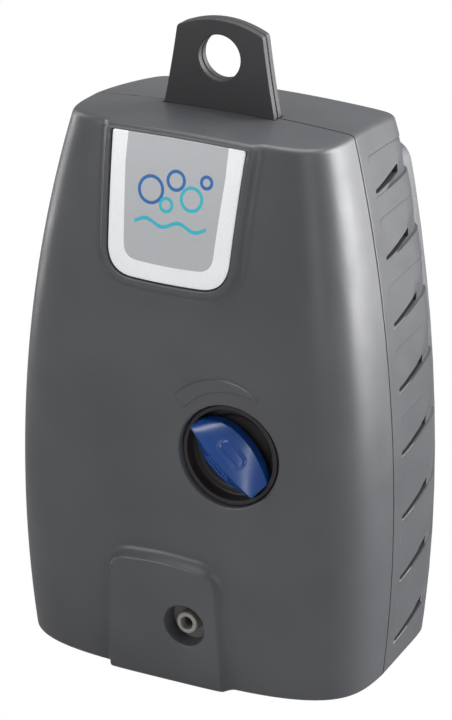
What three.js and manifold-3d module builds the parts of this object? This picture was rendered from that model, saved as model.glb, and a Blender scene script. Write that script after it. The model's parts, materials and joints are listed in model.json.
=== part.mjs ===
// Aquarium air pump: a mains diaphragm pump in an upright two-shell casing.
//
// Units are millimetres and +Z is up. X runs to the right, and the front, with the label, knob
// and outlet, faces -Y. Every piece is drawn with Y = 0 in the parting plane between the shells,
// and the whole group is then moved so that its origin lies on the resting plane, under the middle
// of the pump with its cable tail. "Height" below means height above the casing's bottom.

import * as THREE from 'three';
import { mergeVertices } from 'three/addons/utils/BufferGeometryUtils.js';
import Module from 'manifold-3d';

const wasm = await Module();
wasm.setup();

// ---------------------------------------------------------------- driving dimensions

const FOOT_LIFT = 3;          // the feet hold the casing this far off the table
const PARTING_TO_MIDDLE = 30.9; // from the parting plane back to the middle of the whole pump
const CASE_HEIGHT = 135;
const WALL = 2;
const SEAM_GAP = 0.4;         // shadow gap between the shells
const GAP = 0.3;              // clearance between fixed neighbours
const BELLY_HEIGHT = 35;      // height of the widest place
const BELLY_HALF_WIDTH = 46.3;
const FRONT_DEPTH = 27.8;     // greatest depth of the front shell
const REAR_DEPTH = 31.8;      // greatest depth of the rear shell without its raised panel
const REAR_DRAFT = 0.08;      // the rear shell narrows by this much per millimetre of depth
const PANEL_Y = 34.6;         // rear face of the raised back panel
const LABEL_RAISE = 1.9;      // label surround above the front shell
const OUTLET_RAISE = 2.6;     // outlet panel above the front shell

const KNOB = { x: 16.5, z: 64.2, recess: 12.5 };
const OUTLET = { x: 5.9, z: 19.6, hole: 5.3, tipY: -27.0 };
const HANGER = { bottom: 14.2, top: 10.9, rise: 21.3, holeRise: 12.4, holeRadius: 5.4, thickness: 1.83 };
const LABEL = { bottomHalf: 17, topHalf: 15.4, bottom: 103.8, topDrop: 1.6, corner: 6 };
const DOOR = { halfWidth: 24.7, bottom: 44.4, top: 107.6, outerY: 34.6, thickness: 2.2 };

const POCKET = { half: 27, frontY: 25, bottom: 42, top: 110 }; // walls round the filter felt
const IN_FRONT = -40;         // a cut that starts here starts outside the front shell
const BEHIND = 40;            // a cut that ends here ends outside the back panel

const LOUVRES = { count: 8, first: 6.8, pitch: 16, frontY: 6, backY: 21, height: 1.8, rise: 2 };
const CASE_SCREWS = [[-33, 13], [33, 13], [-22, 118], [22, 118]];
const FEET = [[-28, -8], [28, -8], [-30, 20], [30, 20]];

const FRAME = {
  y: 19, thickness: 2.5, bottom: 19, shoulder: 68, top: 98, half: 38.6, topHalf: 36, corner: 3,
};
const CAPACITOR = { x: 17, z: 98, radius: 4.5, frontY: -20.4, backY: -13.7 };
const GROMMETS = [[-33, 26], [33, 26], [-30, 92], [30, 92]];
const CORE = { left: -38, right: -13, z: 60, half: 19, yoke: 6.5, leg: 6, frontY: -4, backY: 12 };
const PIVOT = { x: 33, z: 60, radius: 2 };
const ARM = { frontY: -1, backY: 9, half: 1.2 };
const PUMP = { x: 11, y: 3.5, half: 15, corner: 12.3 };
const BOARD = { left: -2, right: 36, bottom: 52, top: 108, frontY: -13.5, thickness: 1.5 };
const BOARD_POSTS = [[3, 100], [31, 88]];

// ---------------------------------------------------------------- finishes

const finish = (color, roughness, metalness = 0) =>
  new THREE.MeshStandardMaterial({ color, roughness, metalness });

const FINISH = {
  casing: finish(0x4b4c4f, 0.45),
  hanger: finish(0x2a2a2c, 0.6),
  label: finish(0xa6a8ab, 0.35),
  dish: finish(0x2a2627, 0.5),
  knob: finish(0x0e4a8a, 0.3),
  dark: finish(0x1c1c1e, 0.6),
  rubber: finish(0x18181a, 0.85),
  steel: finish(0xb9bcc0, 0.3, 1),
  iron: finish(0x6a6c70, 0.45, 1),
  magnet: finish(0x3b3d40, 0.4, 1),
  copper: finish(0xb4622e, 0.35, 1),
  board: finish(0x1f5a34, 0.5),
  nylon: finish(0xd8d8d2, 0.5),
  felt: finish(0xe6e3da, 0.95),
  silicone: finish(0xcfd2d0, 0.5),
};

// ---------------------------------------------------------------- solid helpers

function solid(geometry) {
  const bare = geometry.clone();
  bare.deleteAttribute('normal');
  bare.deleteAttribute('uv');
  const merged = mergeVertices(bare, 1e-5);
  return new wasm.Manifold(new wasm.Mesh({
    numProp: 3,
    vertProperties: new Float32Array(merged.attributes.position.array),
    triVerts: new Uint32Array(merged.index.array),
  }));
}

function geometryOf(body) {
  const mesh = body.getMesh();
  const geometry = new THREE.BufferGeometry();
  geometry.setAttribute('position', new THREE.BufferAttribute(mesh.vertProperties, 3));
  geometry.setIndex(new THREE.BufferAttribute(mesh.triVerts, 1));
  geometry.computeVertexNormals();
  return geometry;
}

const join = (bodies) => bodies.reduce((sum, body) => sum.add(body));
const cut = (body, tools) => tools.reduce((rest, tool) => rest.subtract(tool), body);

function block(x0, x1, y0, y1, z0, z1) {
  const box = new THREE.BoxGeometry(x1 - x0, y1 - y0, z1 - z0);
  box.translate((x0 + x1) / 2, (y0 + y1) / 2, (z0 + z1) / 2);
  return solid(box);
}

// A shape drawn in the XZ plane, extruded along Y from y0 to y1.
function plate(shape, y0, y1, curveSegments = 4) {
  const depth = y1 - y0;
  const geometry = new THREE.ExtrudeGeometry(shape, { depth, bevelEnabled: false, curveSegments });
  geometry.rotateX(Math.PI / 2);
  geometry.translate(0, y1, 0);
  return solid(geometry);
}

// A body of revolution. Its profile holds [radius, distance along the axis] points.
function turned(profile, at, axis = 'z', segments = 16) {
  const points = profile.map(([radius, along]) => new THREE.Vector2(radius, along));
  const geometry = new THREE.LatheGeometry(points, segments);
  if (axis === 'z') geometry.rotateX(Math.PI / 2);
  if (axis === 'x') geometry.rotateZ(-Math.PI / 2);
  geometry.translate(...at);
  const body = solid(geometry);
  return body.volume() > 0 ? body : solid(flipped(geometry));
}

function flipped(geometry) {
  const copy = geometry.clone();
  const index = copy.index.array;
  for (let i = 0; i < index.length; i += 3) [index[i], index[i + 1]] = [index[i + 1], index[i]];
  return copy;
}

const rod = (x, z, y0, y1, radius, segments = 16) =>
  turned([[0, y0], [radius, y0], [radius, y1], [0, y1]], [x, 0, z], 'y', segments);

const upright = (x, y, z0, z1, radius, segments = 16) =>
  turned([[0, z0], [radius, z0], [radius, z1], [0, z1]], [x, y, 0], 'z', segments);

// A round cable or tube along a smooth curve through the given points.
function cord(points, radius, steps, sides = 8) {
  const path = new THREE.CatmullRomCurve3(points.map((p) => new THREE.Vector3(...p)));
  const round = new THREE.Shape();
  for (let i = 0; i < sides; i += 1) {
    const angle = (i / sides) * 2 * Math.PI;
    round[i ? 'lineTo' : 'moveTo'](radius * Math.cos(angle), radius * Math.sin(angle));
  }
  round.closePath();
  return solid(new THREE.ExtrudeGeometry(round, { steps, extrudePath: path }));
}

// Screw with its head's underside at `at`. The shank runs along the axis, backwards if length is
// negative, and the head stands on the other side.
function screw(at, axis, headRadius, headHeight, shankRadius, length) {
  const headEnd = -Math.sign(length) * headHeight;
  return turned([
    [0, headEnd], [headRadius, headEnd], [headRadius, 0],
    [shankRadius, 0], [shankRadius, length], [0, length],
  ], at, axis, 8);
}

// ---------------------------------------------------------------- the casing's outer form

const halfWidth = (height) =>
  BELLY_HALF_WIDTH - (height > BELLY_HEIGHT ? 0.00125 : 0.0015) * (height - BELLY_HEIGHT) ** 2;

const frontDepth = (height) =>
  FRONT_DEPTH - (height > 62 ? 0.00156 : 0.00096) * (height - 62) ** 2;

const rearDepth = (height) => REAR_DEPTH - 0.0004 * (height - 50) ** 2;

// How far the top face lies below its highest point: crowned across, falling to the rear.
const topDrop = (x, y) => 1.4 * (x / 33.6) ** 2 + (y > 0 ? 3.5 * (y / 30) ** 1.5 : 0);

// Point of the plan outline at a turn angle: 0 is the right seam, 90 the rear, 270 the front.
function planPoint(angle, height, grow) {
  const rear = Math.sin(angle) >= 0;
  const exponent = rear ? 16 : 3.4 + (0.6 * height) / CASE_HEIGHT;
  const power = 2 / exponent;
  const depth = (rear ? rearDepth(height) : frontDepth(height)) + grow;
  const c = Math.cos(angle);
  const s = Math.sin(angle);
  const y = Math.sign(s) * depth * Math.abs(s) ** power;
  let x = Math.sign(c) * (halfWidth(height) + grow) * Math.abs(c) ** power;
  if (rear) x -= Math.sign(c) * REAR_DRAFT * y;
  return [Math.abs(c) < 1e-9 ? 0 : x, y];
}

// Closed body between two heights whose plan is the casing's outline grown by `grow`.
function casingForm(grow, low, high, bevel = 0) {
  const rearSteps = 8;
  const frontSteps = 16;
  const angles = [];
  for (let i = 0; i < rearSteps; i += 1) angles.push((Math.PI * i) / rearSteps);
  for (let i = 0; i < frontSteps; i += 1) angles.push(Math.PI * (1 + i / frontSteps));
  const steps = 9;
  const levels = bevel ? [[low, -bevel], [low + bevel, 0]] : [[low, 0]];
  for (let i = 1; i < steps; i += 1) levels.push([low + ((high - low) * i) / steps, 0]);
  if (bevel) levels.push([high - bevel, 0], [high, -bevel]);
  else levels.push([high, 0]);

  const rings = levels.map(([height, inset]) => angles.map((angle) => {
    const [x, y] = planPoint(angle, height, grow + inset);
    return [x, y, FOOT_LIFT + height - topDrop(x, y) * (height / high) ** 8];
  }));
  const lid = rings[rings.length - 1].map(([x, y]) => [x * 0.6, y * 0.6]);
  rings.push(lid.map(([x, y]) => [x, y, FOOT_LIFT + high - topDrop(x, y)]));
  return ringBody(rings, [0, 0, FOOT_LIFT + low], [0, 0, FOOT_LIFT + high]);
}

// Closed body through equal-length rings of points, with a centre point at either end.
function ringBody(rings, bottomCentre, topCentre) {
  const count = rings[0].length;
  const positions = [...rings.flat(2), ...bottomCentre, ...topCentre];
  const bottom = rings.length * count;
  const index = [];
  for (let i = 0; i < count; i += 1) {
    const j = (i + 1) % count;
    index.push(bottom, j, i);
    for (let k = 0; k < rings.length - 1; k += 1) {
      const [a, b] = [k * count + i, k * count + j];
      index.push(a, b, b + count, a, b + count, a + count);
    }
    const last = (rings.length - 1) * count;
    index.push(last + i, last + j, bottom + 1);
  }
  const geometry = new THREE.BufferGeometry();
  geometry.setAttribute('position', new THREE.Float32BufferAttribute(positions, 3));
  geometry.setIndex(index);
  return solid(geometry);
}

// ---------------------------------------------------------------- outlines in the front view

// Outline that widens upwards and has two rounded lower corners.
function shieldShape(topHalf, bottomHalf, bottom, top, radius) {
  const shape = new THREE.Shape();
  shape.moveTo(topHalf, top);
  shape.lineTo(-topHalf, top);
  shape.lineTo(-bottomHalf, bottom + radius);
  shape.quadraticCurveTo(-bottomHalf + 0.6, bottom, -bottomHalf + radius + 0.6, bottom);
  shape.lineTo(bottomHalf - radius - 0.6, bottom);
  shape.quadraticCurveTo(bottomHalf - 0.6, bottom, bottomHalf, bottom + radius);
  shape.closePath();
  return shape;
}

// Outline that narrows upwards to an arched top with rounded corners.
function archShape(bottomHalf, topHalf, bottom, top, radius, arch) {
  const shape = new THREE.Shape();
  shape.moveTo(-bottomHalf, bottom);
  shape.lineTo(bottomHalf, bottom);
  shape.lineTo(topHalf, top - arch - radius);
  shape.quadraticCurveTo(topHalf, top - arch, topHalf - radius, top - arch + 0.2);
  shape.quadraticCurveTo(0, top + arch, -topHalf + radius, top - arch + 0.2);
  shape.quadraticCurveTo(-topHalf, top - arch, -topHalf, top - arch - radius);
  shape.closePath();
  return shape;
}

const casingTop = FOOT_LIFT + CASE_HEIGHT;
const labelOutline = (grow) =>
  shieldShape(LABEL.bottomHalf + grow, LABEL.topHalf + grow, LABEL.bottom - grow,
    casingTop - LABEL.topDrop + (grow ? 6 : 0), LABEL.corner + grow * 0.7);
const surroundOutline = shieldShape(19.7, 18.2, 99.4, casingTop + 4, 8);
const outletOutline = archShape(16.4, 14.9, -2, 35.6, 3.6, 0.6);

function panelOutline(inset, bottom, top) {
  const side = (z) => halfWidth(z - FOOT_LIFT) - 5 - inset;
  const shape = new THREE.Shape();
  const radius = 7 - inset;
  const steps = 4;
  const low = bottom + radius;
  const high = top - radius;
  shape.moveTo(side(low) - radius, bottom);
  shape.quadraticCurveTo(side(low), bottom, side(low), low);
  for (let i = 1; i <= steps; i += 1) {
    const z = low + ((high - low) * i) / steps;
    shape.lineTo(side(z), z);
  }
  shape.quadraticCurveTo(side(high) - 0.5, top, side(high) - radius, top);
  shape.lineTo(-side(high) + radius, top);
  shape.quadraticCurveTo(-side(high) + 0.5, top, -side(high), high);
  for (let i = 1; i <= steps; i += 1) {
    const z = high - ((high - low) * i) / steps;
    shape.lineTo(-side(z), z);
  }
  shape.quadraticCurveTo(-side(low), bottom, -side(low) + radius, bottom);
  shape.closePath();
  return shape;
}

// ---------------------------------------------------------------- the two shells

const FAR = 80;
const slab = (y0, y1, z0 = -5, z1 = 170) => block(-FAR, FAR, y0, y1, z0, z1);
const outerForm = casingForm(0, 0, CASE_HEIGHT, 1.2);
const innerForm = casingForm(-WALL, WALL, CASE_HEIGHT - WALL);
const bossForm = (grow) => casingForm(grow, 0, CASE_HEIGHT, 0.8);

const hangerSlot = block(-14.7, 14.7, -2.3, 2.3, casingTop - 8, casingTop + 5);

function footHoles() {
  return FEET.map(([x, y]) => upright(x, y, 0, FOOT_LIFT + 4, 2.2, 8));
}

function frontCover() {
  const surround = plate(surroundOutline, IN_FRONT, -8, 4).intersect(bossForm(LABEL_RAISE));
  const outletPanel = plate(outletOutline, IN_FRONT, -8, 4).intersect(bossForm(OUTLET_RAISE));
  const skin = join([outerForm, surround, outletPanel]).subtract(innerForm);
  const half = skin.intersect(slab(-60, -SEAM_GAP / 2));

  const tongueBand = casingForm(-1.1, 1.1, CASE_HEIGHT - 1.1).subtract(innerForm);
  const tongue = tongueBand.intersect(slab(-1.5, 2.2));
  const posts = CASE_SCREWS.map(([x, z]) => rod(x, z, -24, -0.5, 3.6, 10));
  const boardPosts = BOARD_POSTS.map(([x, z]) => rod(x, z, -24.4, BOARD.frontY - 0.2, 2.8, 8));
  const inside = casingForm(-1, 1, CASE_HEIGHT - 1);
  const supports = join([...posts, ...boardPosts]).intersect(inside);

  const labelSeat = plate(labelOutline(GAP), IN_FRONT, -8, 4)
    .subtract(casingForm(0.6, -4, CASE_HEIGHT + 6));
  return cut(join([half, tongue, supports]), [
    labelSeat,
    rod(KNOB.x, KNOB.z, IN_FRONT, -10, KNOB.recess, 24),
    rod(OUTLET.x, OUTLET.z, IN_FRONT, -15, OUTLET.hole, 16),
    hangerSlot,
    ...CASE_SCREWS.map(([x, z]) => rod(x, z, -14, 1, 1.7, 8)),
    ...BOARD_POSTS.map(([x, z]) => rod(x, z, -21, -10, 1.3, 8)),
    ...footHoles(),
  ]);
}

function louvreCuts() {
  const cuts = [];
  for (let k = 0; k < LOUVRES.count; k += 1) {
    const z = FOOT_LIFT + LOUVRES.first + LOUVRES.pitch * k;
    for (const side of [-1, 1]) {
      const wallX = halfWidth(z - FOOT_LIFT);
      const length = LOUVRES.backY - LOUVRES.frontY;
      const slot = new THREE.BoxGeometry(10, length, LOUVRES.height);
      slot.rotateX(LOUVRES.rise / length);
      slot.translate(side * (wallX - 1.5), LOUVRES.frontY + length / 2, z + LOUVRES.rise / 2);
      cuts.push(solid(slot));
    }
  }
  return cuts;
}

function intakeGrille() {
  const bars = [];
  for (let z = 52; z <= 100; z += 8) bars.push(block(-17, 17, 20, 30, z - 1.4, z + 1.4));
  return bars;
}

// The back panel's pocket takes the felt, and the door's two pivot stubs turn in its sides.
const doorPivot = { y: DOOR.outerY - DOOR.thickness / 2, z: DOOR.bottom + DOOR.thickness / 2 };
const acrossRod = (x0, x1, y, z, radius) =>
  turned([[0, x0], [radius, x0], [radius, x1], [0, x1]], [0, y, z], 'x', 12);

function rearCover() {
  const panel = plate(panelOutline(0, 6.5, 125.6), 22, PANEL_Y - 0.8);
  const panelFace = plate(panelOutline(0.8, 7.3, 124.8), 22, PANEL_Y);
  const panelHollow = plate(panelOutline(WALL, 8.5, 123.6), 20, PANEL_Y - WALL);
  const skin = join([outerForm, panel, panelFace]);
  const hollow = join([innerForm, panelHollow]);
  const half = skin.subtract(hollow).intersect(slab(SEAM_GAP / 2, 60));

  const pocketWalls = block(-POCKET.half, POCKET.half, POCKET.frontY, PANEL_Y - 1,
    POCKET.bottom, POCKET.top);
  const screwTubes = CASE_SCREWS.map(([x, z]) => rod(x, z, 2.6, PANEL_Y - 1, 4.6, 10));
  const framePosts = GROMMETS.map(([x, z]) => rod(x, z, 24.6, 33.5, 3.5, 8));
  const supports = join([pocketWalls, ...screwTubes, ...framePosts])
    .intersect(join([casingForm(-1, 1, CASE_HEIGHT - 1), panel]));

  const grooveBand = casingForm(-0.8, -4, CASE_HEIGHT + 6).intersect(slab(-1, 2.6));
  const groove = casingForm(-0.8, 0.8, CASE_HEIGHT - 0.8).intersect(grooveBand);
  const doorSeat = block(-DOOR.halfWidth - GAP, DOOR.halfWidth + GAP, 27, 40,
    DOOR.bottom - GAP, DOOR.top + GAP);
  const stubHoles = acrossRod(-DOOR.halfWidth - 1.5, DOOR.halfWidth + 1.5, doorPivot.y, doorPivot.z, 0.95);
  const fingerNotch = turned([[0, -3], [6, -3], [6, 0], [0, 0]], [0, PANEL_Y + 1.2, DOOR.top], 'y', 16);

  return cut(join([half, supports]), [
    groove,
    doorSeat,
    stubHoles,
    fingerNotch,
    hangerSlot,
    ...intakeGrille(),
    ...louvreCuts(),
    ...CASE_SCREWS.map(([x, z]) => rod(x, z, 25.8, BEHIND, 3.5, 12)),
    ...CASE_SCREWS.map(([x, z]) => rod(x, z, -1, 27, 1.8, 8)),
    ...GROMMETS.map(([x, z]) => rod(x, z, 20, 30.4, 1.65, 8)),
    rod(CABLE.x, CABLE.z, 25, BEHIND, 5, 12),
    ...footHoles(),
  ]);
}

// ---------------------------------------------------------------- outside parts

const CABLE = { x: -14, z: 14, radius: 3 };

function labelPlate() {
  return plate(labelOutline(0), IN_FRONT, -8, 4)
    .intersect(casingForm(1.6, -4, CASE_HEIGHT + 6))
    .subtract(casingForm(0.8, -4, CASE_HEIGHT + 6));
}

// One of the two hanger plates. Its foot is wider than the slot in the casing's top.
function hangerPlate(side) {
  const top = casingTop + HANGER.rise;
  const visible = archShape(HANGER.bottom, HANGER.top, casingTop + 0.3, top, 2, 1.2);
  const neck = new THREE.Shape();
  const [neckTop, footTop, footBottom, footHalf] = [casingTop + 0.3, casingTop - 6, casingTop - 13, 20];
  neck.moveTo(-HANGER.bottom, neckTop);
  neck.lineTo(-HANGER.bottom, footTop);
  neck.lineTo(-footHalf, footTop);
  neck.lineTo(-footHalf, footBottom);
  neck.lineTo(footHalf, footBottom);
  neck.lineTo(footHalf, footTop);
  neck.lineTo(HANGER.bottom, footTop);
  neck.lineTo(HANGER.bottom, neckTop);
  neck.closePath();
  const inner = 0.12;
  const outer = inner + HANGER.thickness;
  const body = side < 0
    ? plate(visible, -outer, -inner).add(plate(neck, -outer + 0.25, -inner))
    : plate(visible, inner, outer).add(plate(neck, inner, outer - 0.25));
  return body.subtract(rod(0, casingTop + HANGER.holeRise, -5, 5, HANGER.holeRadius, 32));
}

function regulatorDish() {
  const at = [KNOB.x, 0, KNOB.z];
  return turned([
    [3.4, -21.4], [3.4, -22.6], [9, -22.6], [9, -23.4], [11.2, -23.4], [11.2, -26.6], [12.2, -26.6],
    [12.2, -23], [14.4, -23], [14.4, -21.4], [3.4, -21.4],
  ], at, 'y', 24);
}

const POINTER = (48 * Math.PI) / 180;   // pointer direction, measured from up towards the left

function regulatorKnob() {
  const [front, base] = [-31, -23.7];
  const grip = new THREE.Shape();
  const length = 10.8;
  grip.moveTo(-3.2, -length + 0.9);
  grip.lineTo(3.2, -length + 0.9);
  grip.quadraticCurveTo(5.6, -1, 4.4, 4);
  grip.quadraticCurveTo(2.6, length, 0, length);
  grip.quadraticCurveTo(-2.6, length, -4.4, 4);
  grip.quadraticCurveTo(-5.6, -1, -3.2, -length + 0.9);
  const geometry = new THREE.ExtrudeGeometry(grip, {
    depth: 5.3, bevelThickness: 1, bevelSize: 0.9, bevelOffset: -0.9, bevelSegments: 1, curveSegments: 4,
  });
  geometry.rotateX(Math.PI / 2);
  geometry.rotateY(-POINTER);
  geometry.translate(KNOB.x, base - 1, KNOB.z);
  const hub = rod(KNOB.x, KNOB.z, front + 1.6, base, 6, 16);
  return solid(geometry).add(hub).subtract(rod(KNOB.x, KNOB.z, -29.6, -22, 3.2, 12));
}

function outletNozzle() {
  return turned([
    [1.6, OUTLET.tipY], [2.3, OUTLET.tipY], [2.7, -26], [2.7, -23], [7, -23], [7, -21.6],
    [2.4, -21.6], [2.4, -17], [1.6, -17], [1.6, OUTLET.tipY],
  ], [OUTLET.x, 0, OUTLET.z], 'y', 16);
}

const outletHose = () => turned([
  [2.7, -21.3], [4.1, -21.3], [4.1, -11.9], [2.7, -11.9], [2.7, -21.3],
], [OUTLET.x, 0, OUTLET.z], 'y', 12);

function filterCover() {
  const inner = DOOR.outerY - DOOR.thickness;
  const leaf = block(-DOOR.halfWidth, DOOR.halfWidth, inner, DOOR.outerY, doorPivot.z, DOOR.top);
  const knuckle = acrossRod(-DOOR.halfWidth, DOOR.halfWidth, doorPivot.y, doorPivot.z, 1.1);
  const stubs = acrossRod(-DOOR.halfWidth - 1, DOOR.halfWidth + 1, doorPivot.y, doorPivot.z, 0.8);
  const slits = [];
  for (let z = 56; z <= 96; z += 8) slits.push(block(-18, 18, inner - 1, DOOR.outerY + 1, z - 1, z + 1));
  return cut(join([leaf, knuckle, stubs]), slits);
}

const filterFelt = () => block(-24, 24, 27.6, 31.8, 45.6, 107);

function foot([x, y]) {
  const [shoulder, tip] = [FOOT_LIFT - 0.1, FOOT_LIFT + 3.4];
  return turned([[0, 0], [5, 0], [5, shoulder], [1.9, shoulder], [1.9, tip], [0, tip]], [x, y, 0], 'z', 12);
}

const caseScrew = ([x, z]) => screw([x, 26, z], 'y', 3, 2, 1.4, -36);

function strainRelief() {
  const profile = [[CABLE.radius + 0.15, 30.6], [5.4, 30.6], [5.4, 32.3], [4.7, 32.3], [4.7, PANEL_Y + 0.1],
    [6.6, PANEL_Y + 0.1], [6.6, PANEL_Y + 1.8]];
  profile.push([4.8, PANEL_Y + 1.8], [4, PANEL_Y + 13], [CABLE.radius + 0.15, PANEL_Y + 13],
    [CABLE.radius + 0.15, 30.6]);
  return turned(profile, [CABLE.x, 0, CABLE.z], 'y', 12);
}

const mainsCable = () => cord([
  [CABLE.x, 14, CABLE.z], [CABLE.x, 26, CABLE.z], [CABLE.x, 38, CABLE.z], [CABLE.x, 47, CABLE.z],
  [CABLE.x, 53, CABLE.z - 0.8], [CABLE.x - 1, 65, 8.6], [CABLE.x - 3, 78, 3.9], [CABLE.x - 7, 92, 3.2],
], CABLE.radius - 0.02, 18, 8);

const mainsLead = () => cord([
  [CABLE.x, 13.4, CABLE.z], [-21, 4, 11], [-29, -11, 20], [-29, -16, 48], [-15, -17, 84], [-3.6, -13.6, 98],
], 1, 12, 6);

// ---------------------------------------------------------------- control parts

const regulatorShaft = () => rod(KNOB.x, KNOB.z, -29.2, -15.4, 3, 12);

const potentiometer = () => rod(KNOB.x, KNOB.z, -21.1, BOARD.frontY - 0.1, 8, 16)
  .subtract(rod(KNOB.x, KNOB.z, -30, -15, 3.2, 12));

const controlBoard = () => cut(
  block(BOARD.left, BOARD.right, BOARD.frontY, BOARD.frontY + BOARD.thickness, BOARD.bottom, BOARD.top),
  BOARD_POSTS.map(([x, z]) => rod(x, z, -20, 0, 1.5, 10)),
);

const capacitor = () => turned([
  [0, CAPACITOR.frontY], [CAPACITOR.radius - 0.5, CAPACITOR.frontY],
  [CAPACITOR.radius, CAPACITOR.frontY + 0.5], [CAPACITOR.radius, CAPACITOR.backY], [0, CAPACITOR.backY],
], [CAPACITOR.x, 0, CAPACITOR.z], 'y', 12);

const boardScrew = ([x, z]) => screw([x, BOARD.frontY + BOARD.thickness + 0.1, z], 'y', 2.4, 1.6, 1.1, -7);

// ---------------------------------------------------------------- motor

function motorFrame() {
  const shape = new THREE.Shape();
  const { bottom, shoulder, top, half, topHalf, corner } = FRAME;
  const bottomHalf = half - corner;
  shape.moveTo(-bottomHalf, bottom);
  shape.lineTo(bottomHalf, bottom);
  shape.quadraticCurveTo(half, bottom, half, bottom + corner);
  shape.lineTo(half, shoulder);
  shape.lineTo(topHalf, top - corner);
  shape.quadraticCurveTo(topHalf, top, topHalf - corner, top);
  shape.lineTo(-topHalf + corner, top);
  shape.quadraticCurveTo(-topHalf, top, -topHalf, top - corner);
  shape.lineTo(-half, shoulder);
  shape.lineTo(-half, bottom + corner);
  shape.quadraticCurveTo(-half, bottom, -bottomHalf, bottom);
  const back = FRAME.y + FRAME.thickness;
  const standoffs = coreScrewPlaces.map(([x, z]) => rod(x, z, CORE.backY + 0.1, FRAME.y + 1, 3.2, 8));
  const pivotBoss = rod(PIVOT.x, PIVOT.z, ARM.backY + 0.6, FRAME.y + 1, 4.4, 12);
  return cut(join([plate(shape, FRAME.y, back), ...standoffs, pivotBoss]), [
    ...GROMMETS.map(([x, z]) => rod(x, z, 10, 30, 4.3, 12)),
    ...coreScrewPlaces.map(([x, z]) => rod(x, z, 0, 20.5, 1.4, 8)),
    ...pumpScrewPlaces.map(([x, z]) => rod(x, z, 0, 30, 1.5, 8)),
    rod(PIVOT.x, PIVOT.z, 0, 30, PIVOT.radius + 0.1, 24),
    block(-26, -2, 10, 30, 84, 92),
    block(4, 24, 10, 30, 72, 92),
  ]);
}

function grommet([x, z]) {
  const front = FRAME.y - GAP;
  const back = FRAME.y + FRAME.thickness + GAP;
  return turned([[1.9, front - 1.6], [5.5, front - 1.6], [5.5, front], [4, front], [4, back], [5.5, back],
    [5.5, back + 2.5], [1.9, back + 2.5], [1.9, front - 1.6]], [x, 0, z], 'y', 12);
}

const frameScrew = ([x, z]) => screw([x, FRAME.y - GAP - 1.7, z], 'y', 3.1, 2, 1.4, 12.6);

const coreScrewPlaces = [CORE.z + CORE.half - 3.2, CORE.z - CORE.half + 3.2]
  .map((z) => [CORE.left + 3.3, z]);
const pumpScrewPlaces = [[0, 20.6], [23.4, 30]];

// Laminated iron core with three legs that point at the magnet.
function coreLaminations() {
  const { left, right, z, half, yoke, leg, frontY, backY } = CORE;
  const bar = (z0, z1) => block(left, right, frontY, backY, z0, z1);
  return cut(join([
    block(left, left + yoke, frontY, backY, z - half, z + half),
    bar(z + half - yoke, z + half),
    bar(z - leg, z + leg),
    bar(z - half, z - half + yoke),
  ]), coreScrewPlaces.map(([x, sz]) => rod(x, sz, -20, 20, 1.5, 8)));
}

// Rectangular frame around the middle leg, `gap` clear of it and `thick` thick.
function legFrame(x0, x1, gap, thick) {
  const y0 = CORE.frontY - gap;
  const y1 = CORE.backY + gap;
  const z0 = CORE.z - CORE.leg - gap;
  const z1 = CORE.z + CORE.leg + gap;
  return block(x0, x1, y0 - thick, y1 + thick, z0 - thick, z1 + thick)
    .subtract(block(x0 - 1, x1 + 1, y0, y1, z0, z1));
}

function coilBobbin() {
  const x0 = CORE.left + CORE.yoke + GAP;
  const x1 = CORE.right - 1;
  return join([
    legFrame(x0, x1, 0.3, 0.9),
    legFrame(x0, x0 + 1, 0.3, 5.6),
    legFrame(x1 - 1, x1, 0.3, 5.6),
  ]);
}

const coilWinding = () =>
  legFrame(CORE.left + CORE.yoke + GAP + 1.2, CORE.right - 2.2, 1.4, 3.7);

const coilLead = () => cord([
  [-22, -11, 69], [-20, -12.4, 77], [-9, -12.6, 88], [-3.4, -12.7, 92],
], 0.9, 8, 6);

const pivotPin = () => rod(PIVOT.x, PIVOT.z, -3, FRAME.y + 3.4, PIVOT.radius, 24);

function armatureArm() {
  const { frontY, backY, half } = ARM;
  return join([
    block(-6.2, PIVOT.x - 3, frontY, backY, PIVOT.z - half, PIVOT.z + half),
    block(-6.2, -4.7, frontY, backY, PIVOT.z - 7.6, PIVOT.z + 7.6),
    rod(PIVOT.x, PIVOT.z, frontY, backY, 4.6, 24),
  ])
    .subtract(rod(PIVOT.x, PIVOT.z, -10, 20, PIVOT.radius + 0.07, 24))
    .subtract(upright(PUMP.x, PUMP.y, 50, 70, 1.5, 12));
}

const armatureMagnet = () => block(-11.5, -6.4, CORE.frontY, CORE.backY, PIVOT.z - 10, PIVOT.z + 10);

// ---------------------------------------------------------------- pump

const DECK = {
  headLow: 15, headHigh: 34.9, valveLow: 35, valveHigh: 37.7, chamberLow: 37.8, chamberHigh: 47,
};
const pumpBlock = (z0, z1) => block(PUMP.x - PUMP.half, PUMP.x + PUMP.half,
  PUMP.y - PUMP.half, PUMP.y + PUMP.half, z0, z1);
const headScrewPlaces = [[-1, 1], [1, -1]]
  .map(([sx, sy]) => [PUMP.x + sx * PUMP.corner, PUMP.y + sy * PUMP.corner]);
const headScrewHoles = () => headScrewPlaces.map(([x, y]) => upright(x, y, 20, 60, 1.5, 8));
const FLAP = { near: 1.2, length: 8, half: 3, thickness: 0.7 };

const diaphragm = () => turned([
  [0, 48.4], [6.4, 48.4], [7.6, 49.2], [8.8, 49.2], [10.2, 47.1], [13.3, 47.1], [13.3, 49.1],
  [10.7, 49.1], [9.4, 50.5], [0, 50.5],
], [PUMP.x, PUMP.y, 0], 'z', 16);

const diaphragmPlate = () => turned([
  [0, 50.8], [6, 50.8], [6, 52.4], [3.4, 53.2], [3.4, 58.6], [1.35, 58.6], [1.35, 53], [0, 53],
], [PUMP.x, PUMP.y, 0], 'z', 12);

const diaphragmScrew = () => screw([PUMP.x, PUMP.y, PIVOT.z + ARM.half + 0.1], 'z', 2.7, 1.8, 1.15, -7);

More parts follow.
